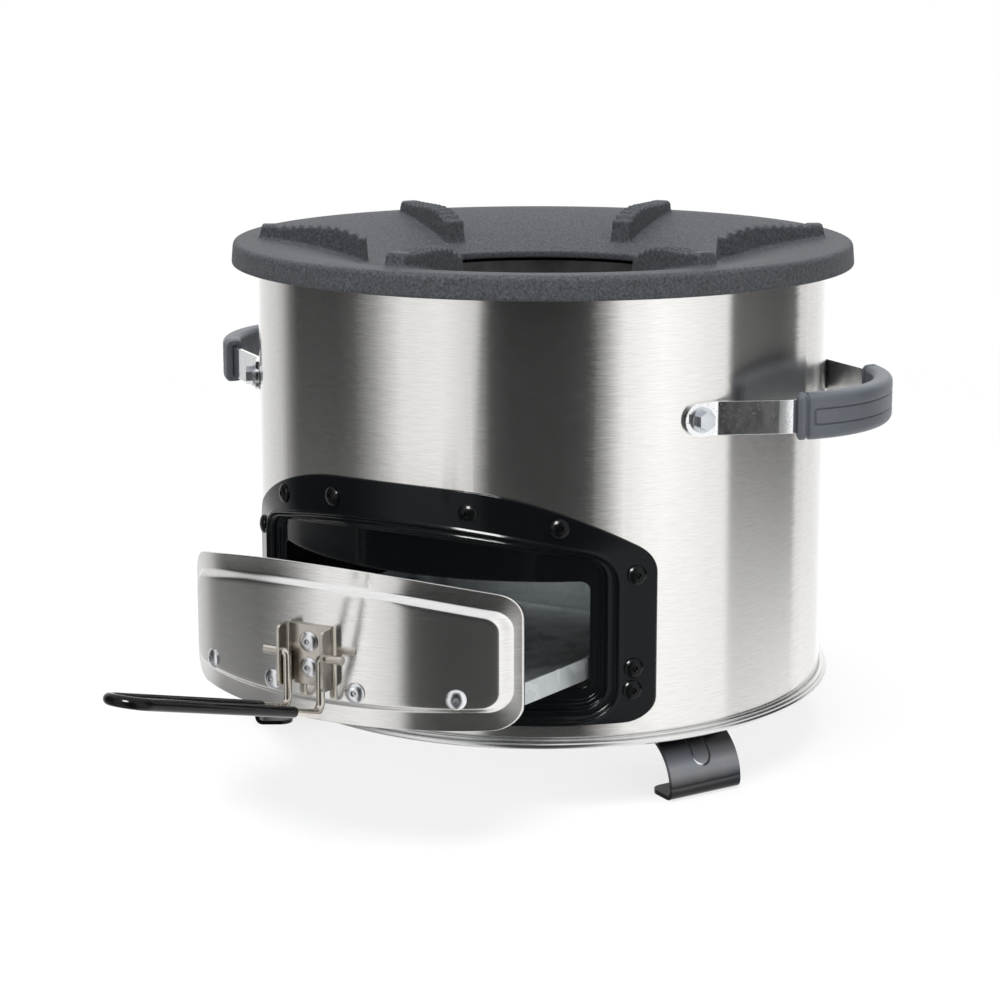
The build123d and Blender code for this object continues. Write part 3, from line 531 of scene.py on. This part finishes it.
def galvanised(name):
    """Zinc spangle: flat crystals that each catch the light differently."""
    finish = Finish(name, (0.62, 0.65, 0.67), metallic=0.85)
    tone = finish.add("ShaderNodeSeparateXYZ", {0: finish.cells(120.0)["Color"]}).outputs["X"]
    dust = finish.noise(900.0, 3.0)
    finish.link(finish.mixed(tone, (0.66, 0.71, 0.72), (0.84, 0.88, 0.89)), "Base Color")
    roughness = finish.plus(finish.spread(tone, 0.30, 0.42), finish.spread(dust, -0.05, 0.08))
    finish.link(roughness, "Roughness")
    finish.link(finish.bump(dust, 0.00006, 0.5, finish.rounded(0.0004)), "Normal")
    return finish.material


def plain_metal(name, color, roughness, tint=0.9):
    """Sheet or wire metal with a fine uneven surface and tinted patches."""
    finish = Finish(name, color, metallic=1.0)
    fine = finish.noise(900.0, 3.0)
    broad = finish.noise(75.0, 3.0)
    finish.link(finish.spread(broad, roughness * 0.75, roughness * 1.3), "Roughness")
    worn = tuple(channel * tint for channel in color)
    finish.link(finish.mixed(finish.spread(broad, 0, 1, 0.3, 0.7), worn, color), "Base Color")
    finish.link(finish.bump(fine, 0.00004, 0.6, finish.rounded(0.0003)), "Normal")
    return finish.material


def plated(name):
    """Bright chrome over a slightly wavy strip, with fine dust specks."""
    clean = (0.86, 0.87, 0.88)
    dusty = (0.55, 0.56, 0.57)
    finish = Finish(name, clean, metallic=1.0)
    waves = finish.noise(60.0)
    specks = finish.noise(1400.0, 3.0)
    finish.link(finish.spread(specks, 0.05, 0.34, 0.55, 0.8), "Roughness")
    height = finish.plus(waves, finish.times(specks, 0.06))
    finish.link(finish.bump(height, 0.0002, 0.5, finish.rounded(0.0005)), "Normal")
    finish.link(finish.spread(specks, 1.0, 0.85, 0.56, 0.7), "Metallic")
    finish.link(finish.mixed(finish.spread(specks, 0, 1, 0.55, 0.75), clean, dusty), "Base Color")
    return finish.material


def glossy_black(name, color, roughness, level, ripple=40.0, depth=0.0002):
    """Enamel, lacquer or vinyl: dark, smooth, with a slow ripple and fine dust."""
    finish = Finish(name, color, level=level)
    waves = finish.noise(ripple)
    dust = finish.noise(1800.0)
    finish.link(finish.spread(dust, roughness, roughness * 2.2, 0.5, 0.8), "Roughness")
    finish.link(finish.bump(waves, depth, 0.5, finish.rounded(0.0004)), "Normal")
    lighter = tuple(channel * 1.6 for channel in color)
    finish.link(finish.mixed(finish.spread(dust, 0, 1, 0.6, 0.8), color, lighter), "Base Color")
    return finish.material


def moulded(name):
    """Charcoal moulded plastic with a spark-eroded grain."""
    finish = Finish(name, (0.111, 0.123, 0.143), level=0.6)
    grain = finish.noise(1300.0, 3.0, 0.6)
    finish.link(finish.bump(grain, 0.00014, 0.7), "Normal")
    finish.link(finish.spread(grain, 0.34, 0.52), "Roughness")
    tone = finish.mixed(finish.noise(90.0), (0.098, 0.110, 0.128), (0.124, 0.137, 0.158))
    finish.link(tone, "Base Color")
    return finish.material


def fibre(name):
    """Pale mineral fibre."""
    finish = Finish(name, (0.72, 0.68, 0.60), roughness=0.95)
    strands = finish.noise(1.0, 4.0, 0.7, finish.stretched(400, 400, 90))
    finish.link(finish.mixed(strands, (0.55, 0.51, 0.43), (0.82, 0.79, 0.72)), "Base Color")
    finish.link(finish.bump(strands, 0.0008, 0.8), "Normal")
    return finish.material


# Painted light and shade on a foot's blued steel from the ground up, as (height in metres, brightness): a
# painted reflection band across the middle, painted shade at the top under the bottom sheet's roll, and
# darker lines near the ground
FOOT_PAINTED_BANDS = [
    (0.0, 0.022),
    (0.0045, 0.035),
    (0.0060, 0.085),
    (0.0070, 0.030),
    (0.0085, 0.10),
    (0.0120, 0.25),
    (0.0155, 0.30),
    (0.0190, 0.15),
    (0.0230, 0.045),
    (0.0280, 0.015),
]


def sprung_steel(name):
    """Blued spring steel: painted reflection and shade bands by height, bluish stains, rolled streaks and
    small pits.
    """
    finish = Finish(name, (0.20, 0.20, 0.225), metallic=1.0)
    rolled = finish.noise(1.0, 3.0, vector=finish.stretched(260, 260, 60))
    pits = finish.cells(260.0)["Distance"]
    stains = finish.noise(45.0, 4.0)
    height = finish.add("ShaderNodeSeparateXYZ", {0: finish.place}).outputs["Z"]
    height = finish.plus(height, finish.spread(stains, -0.0008, 0.0008))
    top = FOOT_PAINTED_BANDS[-1][0]
    share = finish.spread(height, 0, 1, 0, top)
    # The colour by height is painted light and shade: a reflection band, and shade under the roll, tinted
    # by the stains
    painted_bands = ramp_of(finish.tree, share, [(level / top, grey) for level, grey in FOOT_PAINTED_BANDS])
    tint = finish.mixed(finish.spread(stains, 0, 1, 0.3, 0.7), (0.78, 0.85, 1.0), (1.0, 0.98, 1.0))
    tone = finish.mixed(1.0, painted_bands, tint, "MULTIPLY")
    tone = finish.mixed(finish.spread(pits, 0.75, 0, 0.0, 0.10), tone, (0.03, 0.03, 0.032))
    finish.link(tone, "Base Color")
    finish.link(finish.spread(stains, 0.24, 0.40), "Roughness")
    relief = finish.plus(finish.times(rolled, 0.4), finish.spread(pits, -1.0, 0.0, 0.0, 0.10))
    finish.link(finish.bump(relief, 0.0001, 0.7, finish.rounded(0.0006)), "Normal")
    return finish.material


materials = {
    "stainless": brushed("brushed_stainless", 0.010),
    "plain_stainless": plain_metal("plain_stainless", (0.74, 0.74, 0.73), 0.20),
    "cast_black": sand_cast("cast_plate_iron", (0.058, 0.062, 0.069), 1.0),
    "grate_iron": sand_cast("grate_iron", (0.040, 0.038, 0.036), 0.8),
    "galvanised": galvanised("galvanised_sheet"),
    "liner_steel": plain_metal("liner_steel", (0.21, 0.21, 0.215), 0.50, tint=0.6),
    "insulation": fibre("mineral_fibre"),
    "enamel": glossy_black("black_enamel", (0.0056, 0.0068, 0.0080), 0.10, 0.15),
    "rivet_black": glossy_black("black_rivets", (0.0050, 0.0056, 0.0064), 0.16, 0.16, 200.0, 0.0001),
    "rivet_metal": plain_metal("rivet_aluminium", (0.80, 0.81, 0.83), 0.24),
    "nickel": plain_metal("nickel_plate", (0.66, 0.62, 0.56), 0.24, tint=0.82),
    "vinyl": glossy_black("black_vinyl", (0.006, 0.006, 0.007), 0.10, 0.16, 120.0, 0.0001),
    "chrome": plated("chrome_plate"),
    "grip": moulded("moulded_grip"),
    "zinc": plain_metal("zinc_plate", (0.70, 0.73, 0.76), 0.30, tint=0.75),
    "foot_steel": sprung_steel("sprung_steel"),
}


# Meshes


def make_piece(name, points, faces, slot, body, *replaced):
    """A smooth mesh from points in millimetres that rides on a body and stands for CAD nodes."""
    mesh = bpy.data.meshes.new(name)
    mesh.from_pydata([(x * MM, y * MM, z * MM) for x, y, z in points], [], faces)
    shape = bmesh.new()
    shape.from_mesh(mesh)
    bmesh.ops.remove_doubles(shape, verts=shape.verts, dist=0.002 * MM)
    bmesh.ops.recalc_face_normals(shape, faces=shape.faces)
    shape.to_mesh(mesh)
    shape.free()
    mesh.shade_smooth()
    mesh.materials.append(materials[slot])
    piece = bpy.data.objects.new(name, mesh)
    bpy.context.scene.collection.objects.link(piece)
    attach(piece, body)
    if replaced:
        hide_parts(*replaced)
    return piece


def skinned(rings, closed_along=False):
    """Points and quads of a skin through closed rings that all have as many points."""
    count = len(rings[0])
    faces = []
    for i in range(len(rings) if closed_along else len(rings) - 1):
        here, there = i * count, (i + 1) % len(rings) * count
        for j in range(count):
            k = (j + 1) % count
            faces.append((here + j, here + k, there + k, there + j))
    return [point for ring in rings for point in ring], faces


def run(start, end, steps):
    """Points on a straight run, without its start."""
    shares = [i / steps for i in range(1, steps + 1)]
    return [tuple(a + (b - a) * share for a, b in zip(start, end)) for share in shares]


def arc(centre, radius, start, end, steps):
    """Points on an arc, without its start. Angles in radians from +X."""
    turns = [start + (end - start) * i / steps for i in range(1, steps + 1)]
    return [(centre[0] + radius * cos(turn), centre[1] + radius * sin(turn)) for turn in turns]


def both_halves(right):
    """A whole outline from its right half, which starts and ends on the middle line."""
    return right + [(-x, z) for x, z in reversed(right[1:-1])]


def lower_right(half, low, corner, shoulder):
    """The right half of an outline from the middle of its foot up to its shoulder."""
    inset = half - corner
    path = [(0, low)] + run((0, low), (inset, low), ACROSS_STEPS)
    path += arc((inset, low + corner), corner, -pi / 2, 0, CORNER_STEPS)
    return path + run((half, low + corner), (half, shoulder), SIDE_STEPS)


def arched(half, low, high, arch, corner):
    """An upright outline with straight sides, rounded corners and one arc for its top."""
    inset = half - corner
    rise = sqrt((arch - corner) ** 2 - inset**2)
    shoulder = high - arch + rise
    lean = atan2(rise, inset)
    path = lower_right(half, low, corner, shoulder)
    path += arc((inset, shoulder), corner, 0, lean, CORNER_STEPS)
    return both_halves(path + arc((0, high - arch), arch, lean, pi / 2, ACROSS_STEPS))


def crowned(half, low, high, low_corner, high_corner):
    """The frame's outer outline, whose top is a flat arc between two tighter ones."""
    slope = asin(CROWN_HALF / CROWN_RADIUS)
    knee = high - CROWN_RADIUS * (1 - cos(slope))
    centre = (CROWN_HALF - SHOULDER_RADIUS * sin(slope), knee - SHOULDER_RADIUS * cos(slope))
    inset = half - high_corner
    rise = sqrt((SHOULDER_RADIUS - high_corner) ** 2 - (inset - centre[0]) ** 2)
    lean = atan2(rise, inset - centre[0])
    path = lower_right(half, low, low_corner, centre[1] + rise)
    path += arc((inset, centre[1] + rise), high_corner, 0, lean, CORNER_STEPS)
    path += arc(centre, SHOULDER_RADIUS, lean, pi / 2 - slope, ACROSS_STEPS // 2)
    path += arc((0, high - CROWN_RADIUS), CROWN_RADIUS, pi / 2 - slope, pi / 2, ACROSS_STEPS // 2)
    return both_halves(path)


def on_drum(outline, radius, centre_y=0.0):
    """An upright outline laid on the -Y side of an upright cylinder."""
    return [(x, centre_y - sqrt(radius**2 - x**2), z) for x, z in outline]


def soft_step(grow_from, grow_to, radius_from, radius_to, lip=0.0):
    """A soft step between two levels of a pressing, as (growth, radius), with a raised lip before it."""
    shares = [i / SOFT_STEPS for i in range(SOFT_STEPS + 1)]
    start = LIP_SHARE / 2 if lip else 0
    blends = [(1 - cos(pi * max(0, share - start) / (1 - start))) / 2 for share in shares]
    rises = [lip * (1 - cos(2 * pi * min(1, share / LIP_SHARE))) / 2 for share in shares]
    return [
        (grow_from + (grow_to - grow_from) * share, radius_from + (radius_to - radius_from) * blend + rise)
        for share, blend, rise in zip(shares, blends, rises)
    ]


def cut_edge(radius, thick, round_off):
    """A sheet's outer edge, from its back corner round to its face, as (growth, radius)."""
    start = [(0, radius - thick), (0, radius - round_off)]
    turns = [pi / 6, pi / 3, pi / 2]
    return start + [(round_off * (cos(t) - 1), radius + round_off * (sin(t) - 1)) for t in turns]


def behind(stretch, thick):
    """The back of a stretch of sheet, in the same order as its front."""
    back = []
    for i, (grow, radius) in enumerate(stretch):
        before, after = stretch[max(i - 1, 0)], stretch[min(i + 1, len(stretch) - 1)]
        across, rise = after[0] - before[0], after[1] - before[1]
        length = sqrt(across**2 + rise**2)
        back.append((grow - thick * rise / length, radius + thick * across / length))
    return back


def door_pressing():
    """The enamelled frame as one pressing: flange, three soft steps, floor and mouth."""
    drop = POCKET_DEPTH / POCKET_STEPS
    top_level = POCKET_STEPS - 1

    def pocket(level):
        return lambda grow: arched(
            front_half + POCKET_SIDE_GAP + STEP_SIDE * level + grow,
            front_low.z - POCKET_UNDER - STEP_UNDER * level - grow,
            front_high.z - POCKET_CROWN_DROP + STEP_OVER * level + grow,
            POCKET_ARCH - STEP_ARCH * level + grow,
            POCKET_CORNER + CORNER_STEP * level + grow,
        )

    def flange(grow):
        return crowned(
            frame_high.x + grow,
            frame_low.z - grow,
            frame_high.z + grow,
            FLANGE_LOW_CORNER + grow,
            FLANGE_HIGH_CORNER + grow,
        )

    def mouth(grow):
        half = front_half - MOUTH_SIDE_INSET + grow
        low = front_low.z - MOUTH_UNDER - grow
        return arched(half, low, low + MOUTH_HEIGHT + 2 * grow, FLAT_ARCH, MOUTH_CORNER + grow)

    face = drum_radius + FRAME_SHEET
    front = [(flange, point) for point in cut_edge(face, FRAME_SHEET, FRAME_EDGE_ROUND)]
    front.append((flange, (-FLANGE_RUN, face)))
    back = []
    for level in range(top_level, -1, -1):
        high = face - drop * (top_level - level)
        outer = SHOULDER_SOFT if level == top_level else STEP_SOFT
        lip = LIP_SLOPE * (outer + STEP_SOFT) if level > 0 else 0
        stretch = soft_step(outer, -STEP_SOFT, high, high - drop, lip)
        front += [(pocket(level), point) for point in stretch]
        back += [(pocket(level), point) for point in behind(stretch, FRAME_SHEET)]
    floor = face - POCKET_DEPTH
    inner_edge = [(-grow, radius) for grow, radius in cut_edge(floor, FRAME_SHEET, FRAME_EDGE_ROUND)]
    front += [(mouth, (MOUTH_RUN, floor))] + [(mouth, point) for point in reversed(inner_edge)]
    rings = [on_drum(shape(grow), radius) for shape, (grow, radius) in front + back[::-1]]
    points, faces = skinned(rings, closed_along=True)
    return make_piece("door_pressing", points, faces, "enamel", "stove", "door_frame")


def ladder(first):
    """Quads that fill an upright outline's ring, from its lower edge to its upper edge."""
    half_way = 2 * ACROSS_STEPS + 2 * CORNER_STEPS + SIDE_STEPS
    last = ACROSS_STEPS + CORNER_STEPS - 1
    rungs = [[i, i + 1, half_way - i - 1, half_way - i] for i in range(last)]
    rungs.append(list(range(last, half_way - last + 1)))
    around = 2 * half_way
    return [[first + side * number % around for number in rung] for side in (1, -1) for rung in rungs]


def front_pressing():
    """The drawer's curved front as one pressing: cut edge, flange, soft step and raised panel."""
    centre_y = front_low.y + FRONT_RADIUS + PANEL_RAISE
    flange_face = FRONT_RADIUS
    panel_face = FRONT_RADIUS + PANEL_RAISE

    def edge(grow):
        return arched(
            front_half + grow,
            front_low.z - grow,
            front_high.z + grow,
            FRONT_ARCH + grow,
            FRONT_CORNER + grow,
        )

    def panel(grow):
        return arched(
            front_half - PANEL_INSET + grow,
            front_low.z + PANEL_INSET_LOW - grow,
            front_high.z - PANEL_INSET_HIGH + grow,
            FRONT_ARCH - PANEL_INSET_HIGH + grow,
            PANEL_CORNER + grow,
        )

    rim = cut_edge(flange_face, FRONT_SHEET, FRONT_EDGE_ROUND)
    step = soft_step(PANEL_SOFT, -PANEL_SOFT, flange_face, panel_face)
    inner = [(-PANEL_SOFT - PANEL_RUN, panel_face)]
    shapes = [(panel, point) for point in behind(step + inner, FRONT_SHEET)][::-1]
    shapes += [(edge, point) for point in rim + [(-EDGE_RUN, flange_face)]]
    shapes += [(panel, point) for point in step + inner]
    rings = [on_drum(shape(grow), radius, centre_y) for shape, (grow, radius) in shapes]
    points, faces = skinned(rings)
    faces += ladder(0) + ladder(len(points) - len(rings[0]))
    make_piece("front_pressing", points, faces, "stainless", "drawer", "drawer_front")


def section_of(thick, tall, corner):
    """A rounded section's points and outward directions, dense on its outer face."""
    flat = tall / 2 - corner
    above = FACE_HEIGHTS + [flat]
    heights = [-h for h in above[:0:-1]] + above
    depth = thick / 2
    sides = [((depth, h), (1, 0)) for h in heights]
    for turn, (u, w) in enumerate([(1, 1), (-1, 1), (-1, -1), (1, -1)]):
        centre = (u * (depth - corner), w * flat)
        for step in range(1, GRIP_CORNER_STEPS + 1):
            angle = (turn + step / GRIP_CORNER_STEPS) * pi / 2
            way = (cos(angle), sin(angle))
            sides.append(((centre[0] + corner * way[0], centre[1] + corner * way[1]), way))
        if turn == 1:
            sides += [((-depth, h), (-1, 0)) for h in reversed(heights[1:-1:INNER_FACE_STRIDE])]
    return sides[:-1]


def incision(along, height):
    """How deep the rounded outline is cut into the grip at a place on its outer face."""
    over = abs(along) - INCISION_HALF_LONG + INCISION_CORNER
    above = abs(height) - INCISION_HALF_TALL + INCISION_CORNER
    outside = sqrt(max(over, 0) ** 2 + max(above, 0) ** 2)
    gap = abs(outside + min(max(over, above), 0) - INCISION_CORNER)
    return INCISION_DEEP * max(0, 1 - gap / INCISION_HALF_WIDE)


def grip_stations():
    """Places along the grip from its middle to its end, with how far the section draws in."""
    half = GRIP_HALF_ANGLE * GRIP_RADIUS
    groove = half - COLLAR_LONG - GROOVE_LONG
    fine_from = INCISION_HALF_LONG - GRIP_FINE_START
    middle = [(i / GRIP_MIDDLE_STEPS * fine_from, 0) for i in range(GRIP_MIDDLE_STEPS + 1)]
    fine = [(fine_from + i * GRIP_FINE_LONG, 0) for i in range(1, GRIP_FINE_STEPS + 1)]
    into = [(groove - out, deep) for out, deep in GROOVE_WALL]
    out_of = [(groove + GROOVE_LONG + out, deep) for out, deep in reversed(GROOVE_WALL)]
    end = [(half - before, deep) for before, deep in GRIP_END]
    return middle + fine + into + out_of + end


def moulded_grips():
    """Both grips: a bent bar with end collars, grooves and a line cut round its outer face."""
    centre_x = grip_high.x - GRIP_RADIUS - GRIP_THICK / 2
    height = (grip_low.z + grip_high.z) / 2
    half = GRIP_HALF_ANGLE * GRIP_RADIUS
    section = section_of(GRIP_THICK, GRIP_TALL, GRIP_ROUND)

    def placed(along, flat_ring):
        ring = []
        for u, w in flat_ring:
            slant = GRIP_SLANT * (along / half) ** SLANT_POWER * u / GRIP_THICK * 2
            angle = along / GRIP_RADIUS + slant
            radius = GRIP_RADIUS + u
            ring.append((centre_x + radius * cos(angle), radius * sin(angle), height + w))
        return ring

    def body(along, inset):
        ring = []
        for (u, w), (out, up) in section:
            cut = inset + (incision(along, w) if out == 1 else 0)
            ring.append((u - out * cut, w - up * cut))
        return placed(along, ring)

    def socket(along):
        ring = []
        for (u, w), _ in section:
            u = min(max(u, STRAP_OFFSET - SLOT_THICK / 2), STRAP_OFFSET + SLOT_THICK / 2)
            ring.append((u, min(max(w, -SLOT_TALL / 2), SLOT_TALL / 2)))
        return placed(along, ring)

    stations = grip_stations()
    right = [body(along, inset) for along, inset in stations]
    right += [socket(half), socket(half - SLOT_DEEP)]
    left = [body(-along, inset) for along, inset in stations[1:]]
    left += [socket(-half), socket(SLOT_DEEP - half)]
    rings = left[::-1] + right
    points, faces = skinned(rings)
    count = len(section)
    faces += [tuple(range(count)), tuple(range(len(points) - count, len(points)))]
    for name, side in (("right", 1), ("left", -1)):
        mirrored = [(side * x, y, z) for x, y, z in points]
        make_piece(f"moulded_grip_{name}", mirrored, faces, "grip", "stove", f"handle_grip_{name}")


def bottom_pan():
    """The bottom sheet with its edge rolled over the drum's flange: a roll, a seam and a thin fold."""
    section = [(0, pan_under), (PAN_FLAT, pan_under)]
    section += [(drum_radius + out, pan_under + up) for out, up in PAN_ROLL + PAN_SEAM + PAN_FOLD]
    section.append((0, pan_under + PAN_THICK))
    turns = [2 * pi * i / PAN_SIDES for i in range(PAN_SIDES)]
    rings = [[(radius * cos(t), radius * sin(t), height) for radius, height in section] for t in turns]
    points, faces = skinned(rings, closed_along=True)
    pan = make_piece("bottom_pan", points, faces, "stainless", "stove", "base_pan")
    pan.data.materials[0] = materials["plain_stainless"]


def cast_plate():
    """The iron casting, with its edges softened as a sand mould leaves them."""
    casting = bpy.data.objects.new("cast_plate", nodes["cast_top"].data.copy())
    casting.matrix_world = nodes["cast_top"].matrix_world
    bpy.context.scene.collection.objects.link(casting)
    remesh = casting.modifiers.new("grid", "REMESH")
    remesh.mode = "VOXEL"
    remesh.voxel_size = CAST_GRID
    smooth = casting.modifiers.new("soften", "SMOOTH")
    smooth.factor = CAST_SMOOTHING
    smooth.iterations = CAST_ROUNDS
    bpy.context.view_layer.update()
    mesh = bpy.data.meshes.new_from_object(casting.evaluated_get(bpy.context.evaluated_depsgraph_get()))
    casting.modifiers.clear()
    casting.data = mesh
    mesh.shade_smooth()
    mesh.materials.clear()
    mesh.materials.append(materials["cast_black"])
    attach(casting, "stove")
    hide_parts("cast_top")


def mandrel_at(place, outwards):
    """What is left of a blind rivet's mandrel, as rings about a direction from its eye's floor."""
    outwards = Vector(outwards).normalized()
    across = outwards.orthogonal().normalized()
    up = outwards.cross(across)
    rings = []
    for radius, rise in MANDREL_SHAPE:
        turns = [2 * pi * i / MANDREL_SIDES for i in range(MANDREL_SIDES)]
        centre = Vector(place) + outwards * rise
        rings.append([tuple(centre + across * radius * cos(t) + up * radius * sin(t)) for t in turns])
    return rings


def mandrel_piece(name, places, slot, body):
    """One piece of all the mandrels that ride on a body, from (place, direction) pairs."""
    points, faces = [], []
    for place, outwards in places:
        more, skin = skinned(mandrel_at(place, outwards))
        skin += [tuple(range(MANDREL_SIDES)), tuple(range(len(more) - MANDREL_SIDES, len(more)))]
        faces += [tuple(len(points) + number for number in face) for face in skin]
        points += more
    make_piece(name, points, faces, slot, body)


def rivet_places(shares, low, high, half_angle, radius, centre_y):
    """Eye floors of rivets mirrored about the middle of a round sheet, with their directions."""
    places = []
    for across, up in shares:
        angle = across * half_angle
        for side in (1, -1):
            way = (side * sin(angle), -cos(angle), 0)
            reach = radius + RIVET_PROUD - RIVET_EYE_DEEP
            places.append(((reach * way[0], centre_y + reach * way[1], low + up * (high - low)), way))
    return places


def mandrels():
    """Mandrel stubs in the eyes of the visible blind rivets."""
    face = drum_radius + FRAME_SHEET
    frame_angle = asin(frame_high.x / drum_radius)
    places = rivet_places(FRAME_RIVETS, frame_low.z, frame_high.z, frame_angle, face, 0)
    mandrel_piece("frame_mandrels", places, "rivet_black", "stove")
    panel = FRONT_RADIUS + PANEL_RAISE
    centre_y = front_low.y + panel
    front_angle = asin(front_half / FRONT_RADIUS)
    places = rivet_places(FRONT_RIVETS, front_low.z, front_high.z, front_angle, panel, centre_y)
    for share in BRACKET_RIVETS:
        height = bracket_low.z + share * (bracket_high.z - bracket_low.z)
        place = (0, BRACKET_FACE - RIVET_PROUD + RIVET_EYE_DEEP, height)
        places.append((place, (0, -1, 0)))
    mandrel_piece("drawer_mandrels", places, "zinc", "drawer")


MATERIAL_OF_NODES = {
    "stainless": ["outer_shell", "drawer_front"],
    "plain_stainless": ["base_pan"],
    "cast_black": ["cast_top"],
    "galvanised": ["top_ring", "heat_shield", "ash_tray", "drawer_runner_left", "drawer_runner_right"],
    "liner_steel": ["combustion_liner"],
    "grate_iron": ["charcoal_grate"],
    "insulation": ["insulation_ring"],
    "enamel": ["door_frame"],
    "rivet_black": ["door_frame_rivets"],
    "rivet_metal": ["drawer_front_rivets", "pull_bracket_rivets"],
    "nickel": ["pull_bracket", "pull_wire"],
    "vinyl": ["pull_sleeve"],
    "chrome": ["handle_strap_left", "handle_strap_right"],
    "grip": ["handle_grip_left", "handle_grip_right"],
    "zinc": ["handle_bolts", "handle_washers", "handle_nuts", "foot_rivets", "runner_rivets"],
    "foot_steel": ["foot_front_right", "foot_front_left", "foot_rear"],
}


def dress_nodes():
    """Every carried-over node gets its material on its own object."""
    for key, names in MATERIAL_OF_NODES.items():
        for name in names:
            slot = nodes[name].material_slots[0]
            slot.link = "OBJECT"
            slot.material = materials[key]


make_camera()
make_world()
make_floor()
for lamp in LAMPS:
    area_light(*lamp)
dress_nodes()
gloss_light([door_pressing(), nodes["door_frame_rivets"], nodes["pull_sleeve"]])
front_pressing()
moulded_grips()
cast_plate()
mandrels()
bottom_pan()

bpy.context.scene.view_settings.view_transform = "Standard"
